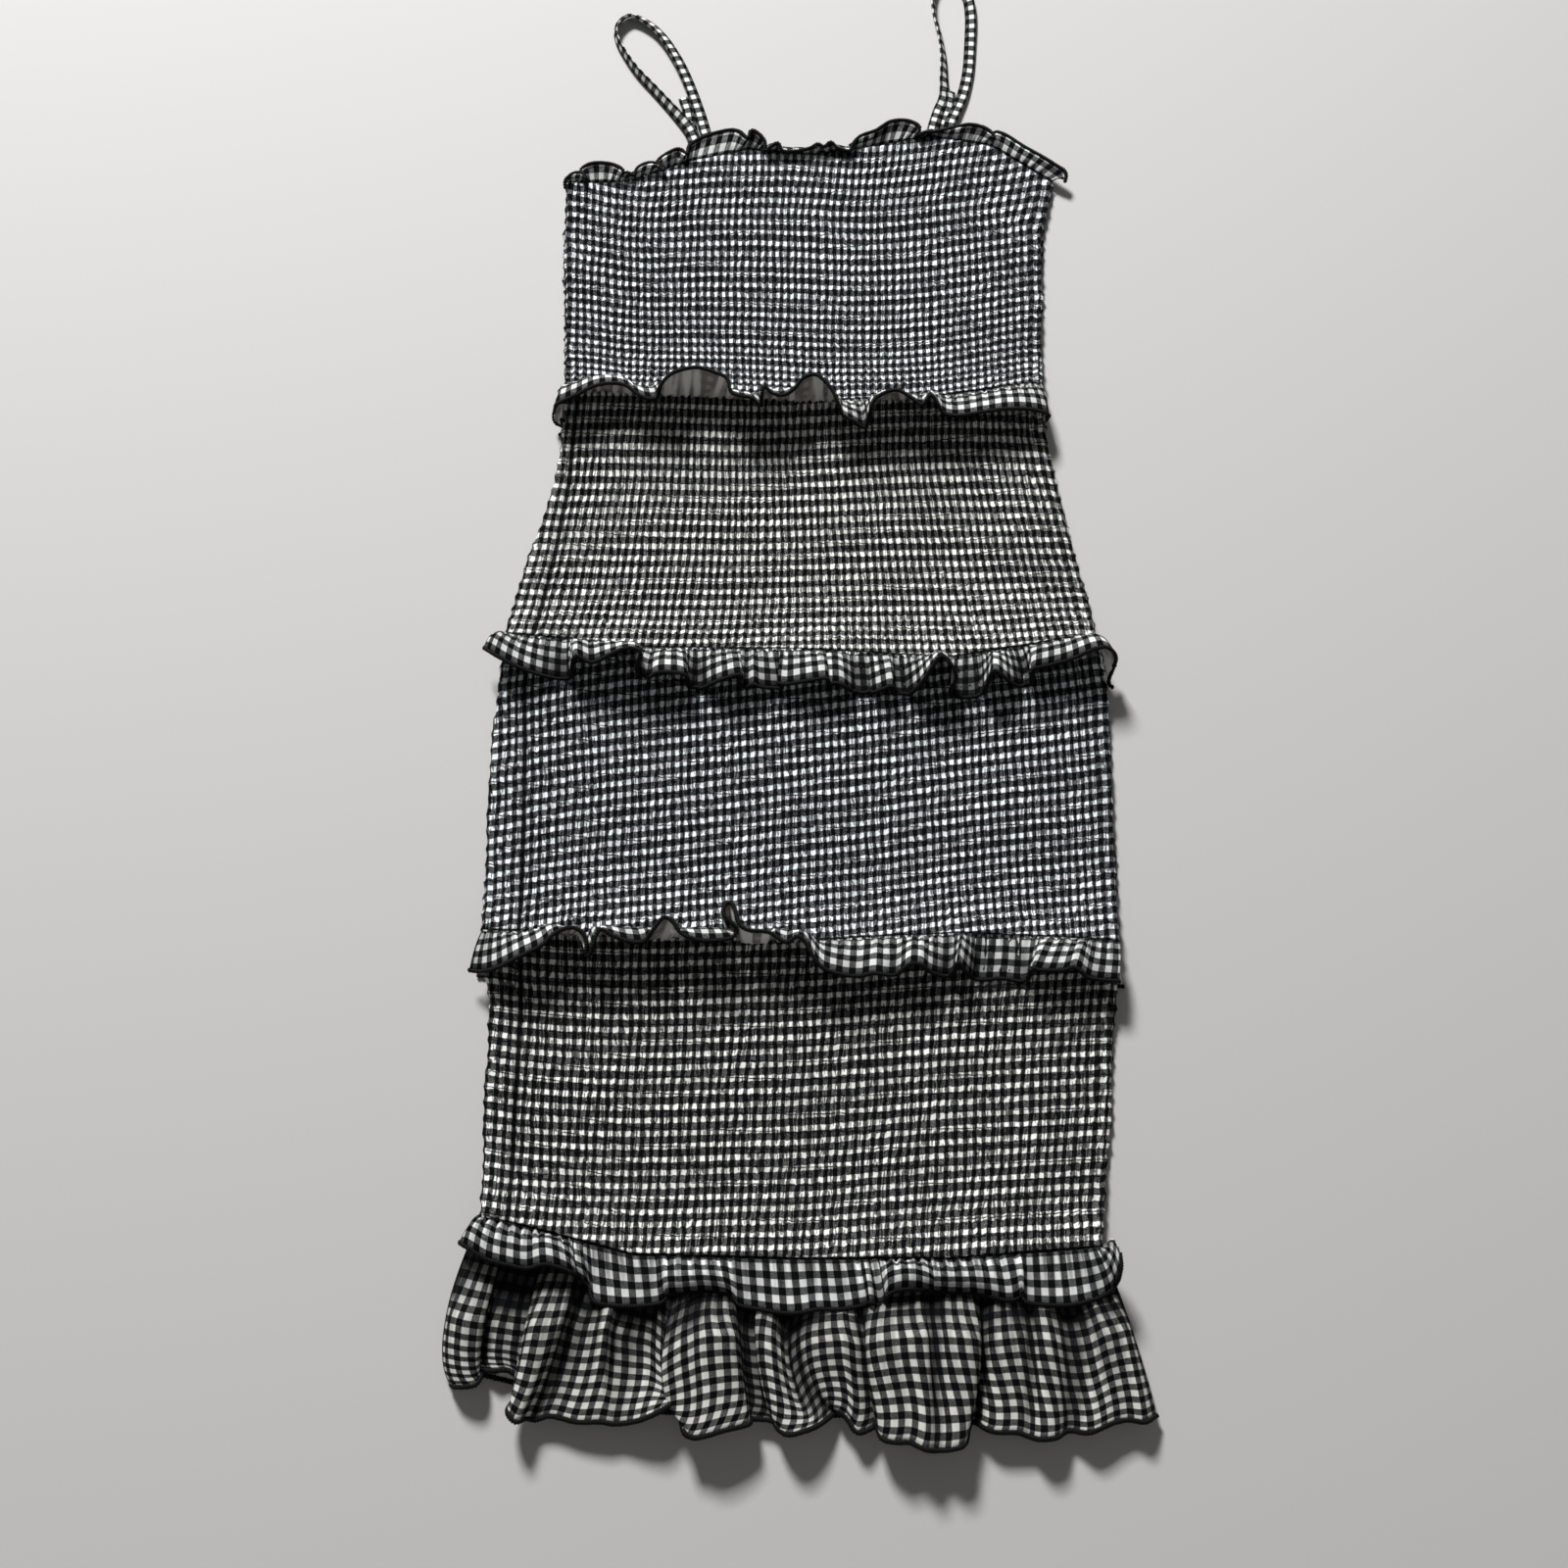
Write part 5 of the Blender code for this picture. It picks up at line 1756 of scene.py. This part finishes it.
def gathered_pieces():
    """The frills and the flounce, in the order that their random seeds follow.

    Columns: surface, points across and down, depth, height of its gathers, whether it is settled,
    and the piece underneath.
    """
    neck = (neck_frill_points, NECK_FRILL_GRID, NECK_FRILL_DEPTH, GATHERS["neck"])
    back_neck = (back_neck_frill_points, BACK_FRILL_GRID, BACK_NECK_DEPTH, 0.0)
    flounce = (flounce_points, FLOUNCE_GRID, FLOUNCE_DEPTH, GATHERS["flounce"])
    back_flounce = (back_flounce_points, BACK_FLOUNCE_GRID, FLOUNCE_DEPTH, 0.0)
    pieces = {
        "neck_frill_front": (*neck, False, "bodice_front"),
        "neck_frill_back": (*back_neck, False, "bodice_back"),
        "flounce_front": (*flounce, True, "flounce_back"),
        "flounce_back": (*back_flounce, False, "thigh_tier_back"),
    }
    for seam, folds in FRILL_FOLDS.items():
        clear_of = over_flounce if seam == "hem" else partial(over_tiers, seam)
        under = "flounce_front" if seam == "hem" else f"{seam}_tier_front"
        surface = partial(frill_points, folds, seam, clear_of)
        front = (surface, FRILL_GRID, FRILL_DEPTH, GATHERS[seam])
        back = (partial(back_frill_points, seam), BACK_FRILL_GRID, FRILL_DEPTH, 0.0)
        pieces[f"{seam}_frill_front"] = (*front, False, under)
        pieces[f"{seam}_frill_back"] = (*back, False, "thigh_tier_back")
    return pieces


def add_gathered_pieces(materials, stitches):
    """The frills and the flounce, front and back, each with its overlocked edge."""
    for number, (name, facts) in enumerate(gathered_pieces().items()):
        surface, size, depth, gathers, settled, under = facts
        seed = 100 + 3 * number
        points, checks, crease, length = cloth_grid(surface, size, depth, gathers, settled, seed)
        look = "flounce" if name.startswith("flounce") else "plain"
        # The neck frill stands up, so its inside shows, and it is as white as its face.
        inside = look if name.startswith("neck_frill") else "underside"
        cloths = [materials[look], materials[inside]]
        faces_up = name.endswith("front")
        obj = add_grid(name + "_cloth", points, checks, cloths, faces_up, 0.0, crease=crease)
        hang(obj, name)
        edge = add_merrow_edge(name, points, stitches, materials["merrow"])


def add_straps(material):
    """The two straps, each with its folded end."""
    for name, rows, end_rows in (
        ("strap_left", LEFT_STRAP, LEFT_STRAP_END),
        ("strap_right", RIGHT_STRAP, RIGHT_STRAP_END),
    ):
        obj, length = add_strap(name, rows, end_rows, material)


def add_dress():
    materials = make_materials()
    stitches = stitch_tree()
    add_tiers(materials, stitches)
    add_gathered_pieces(materials, stitches)
    add_straps(materials["strap"])


def add_stage():
    """A plain pale floor, a large soft light beyond the neckline and a weaker one for the hem."""
    bpy.ops.mesh.primitive_plane_add(size=FLOOR_SIZE, location=(0, 0, -FLOOR_DROP))
    floor = bpy.context.object
    floor.name = "floor"
    material, _, shader = new_material("pale_floor", FLOOR_FINISH)
    shader["Base Color"].default_value = FLOOR_GREY
    floor.data.materials.append(material)
    for name, place, size, power in LIGHTS:
        light = bpy.data.lights.new(name, "AREA")
        light.size = size
        light.energy = power
        lamp = add_object(name, light)
        lamp.location = place
        # Turned to face the middle of the dress.
        x, y, z = place
        lamp.rotation_euler = (math.atan2(math.hypot(x, y), z), 0, math.atan2(-y, -x) - math.pi / 2)
    world = bpy.data.worlds.new("studio")
    world.use_nodes = True
    background = world.node_tree.nodes["Background"].inputs
    background["Color"].default_value = WORLD_WHITE
    background["Strength"].default_value = WORLD_STRENGTH
    bpy.context.scene.world = world


def add_camera():
    data = bpy.data.cameras.new("camera")
    data.lens = CAMERA_LENS
    data.sensor_width = CAMERA_SENSOR
    camera = add_object("camera", data)
    camera.location = placed(np.array([0.0, 0.0, CAMERA_HEIGHT]))
    camera.rotation_euler = (CAMERA_LEAN, 0, 0)
    bpy.context.scene.camera = camera


add_camera()
add_dress()
add_stage()
bpy.context.scene.view_settings.view_transform = "Standard"
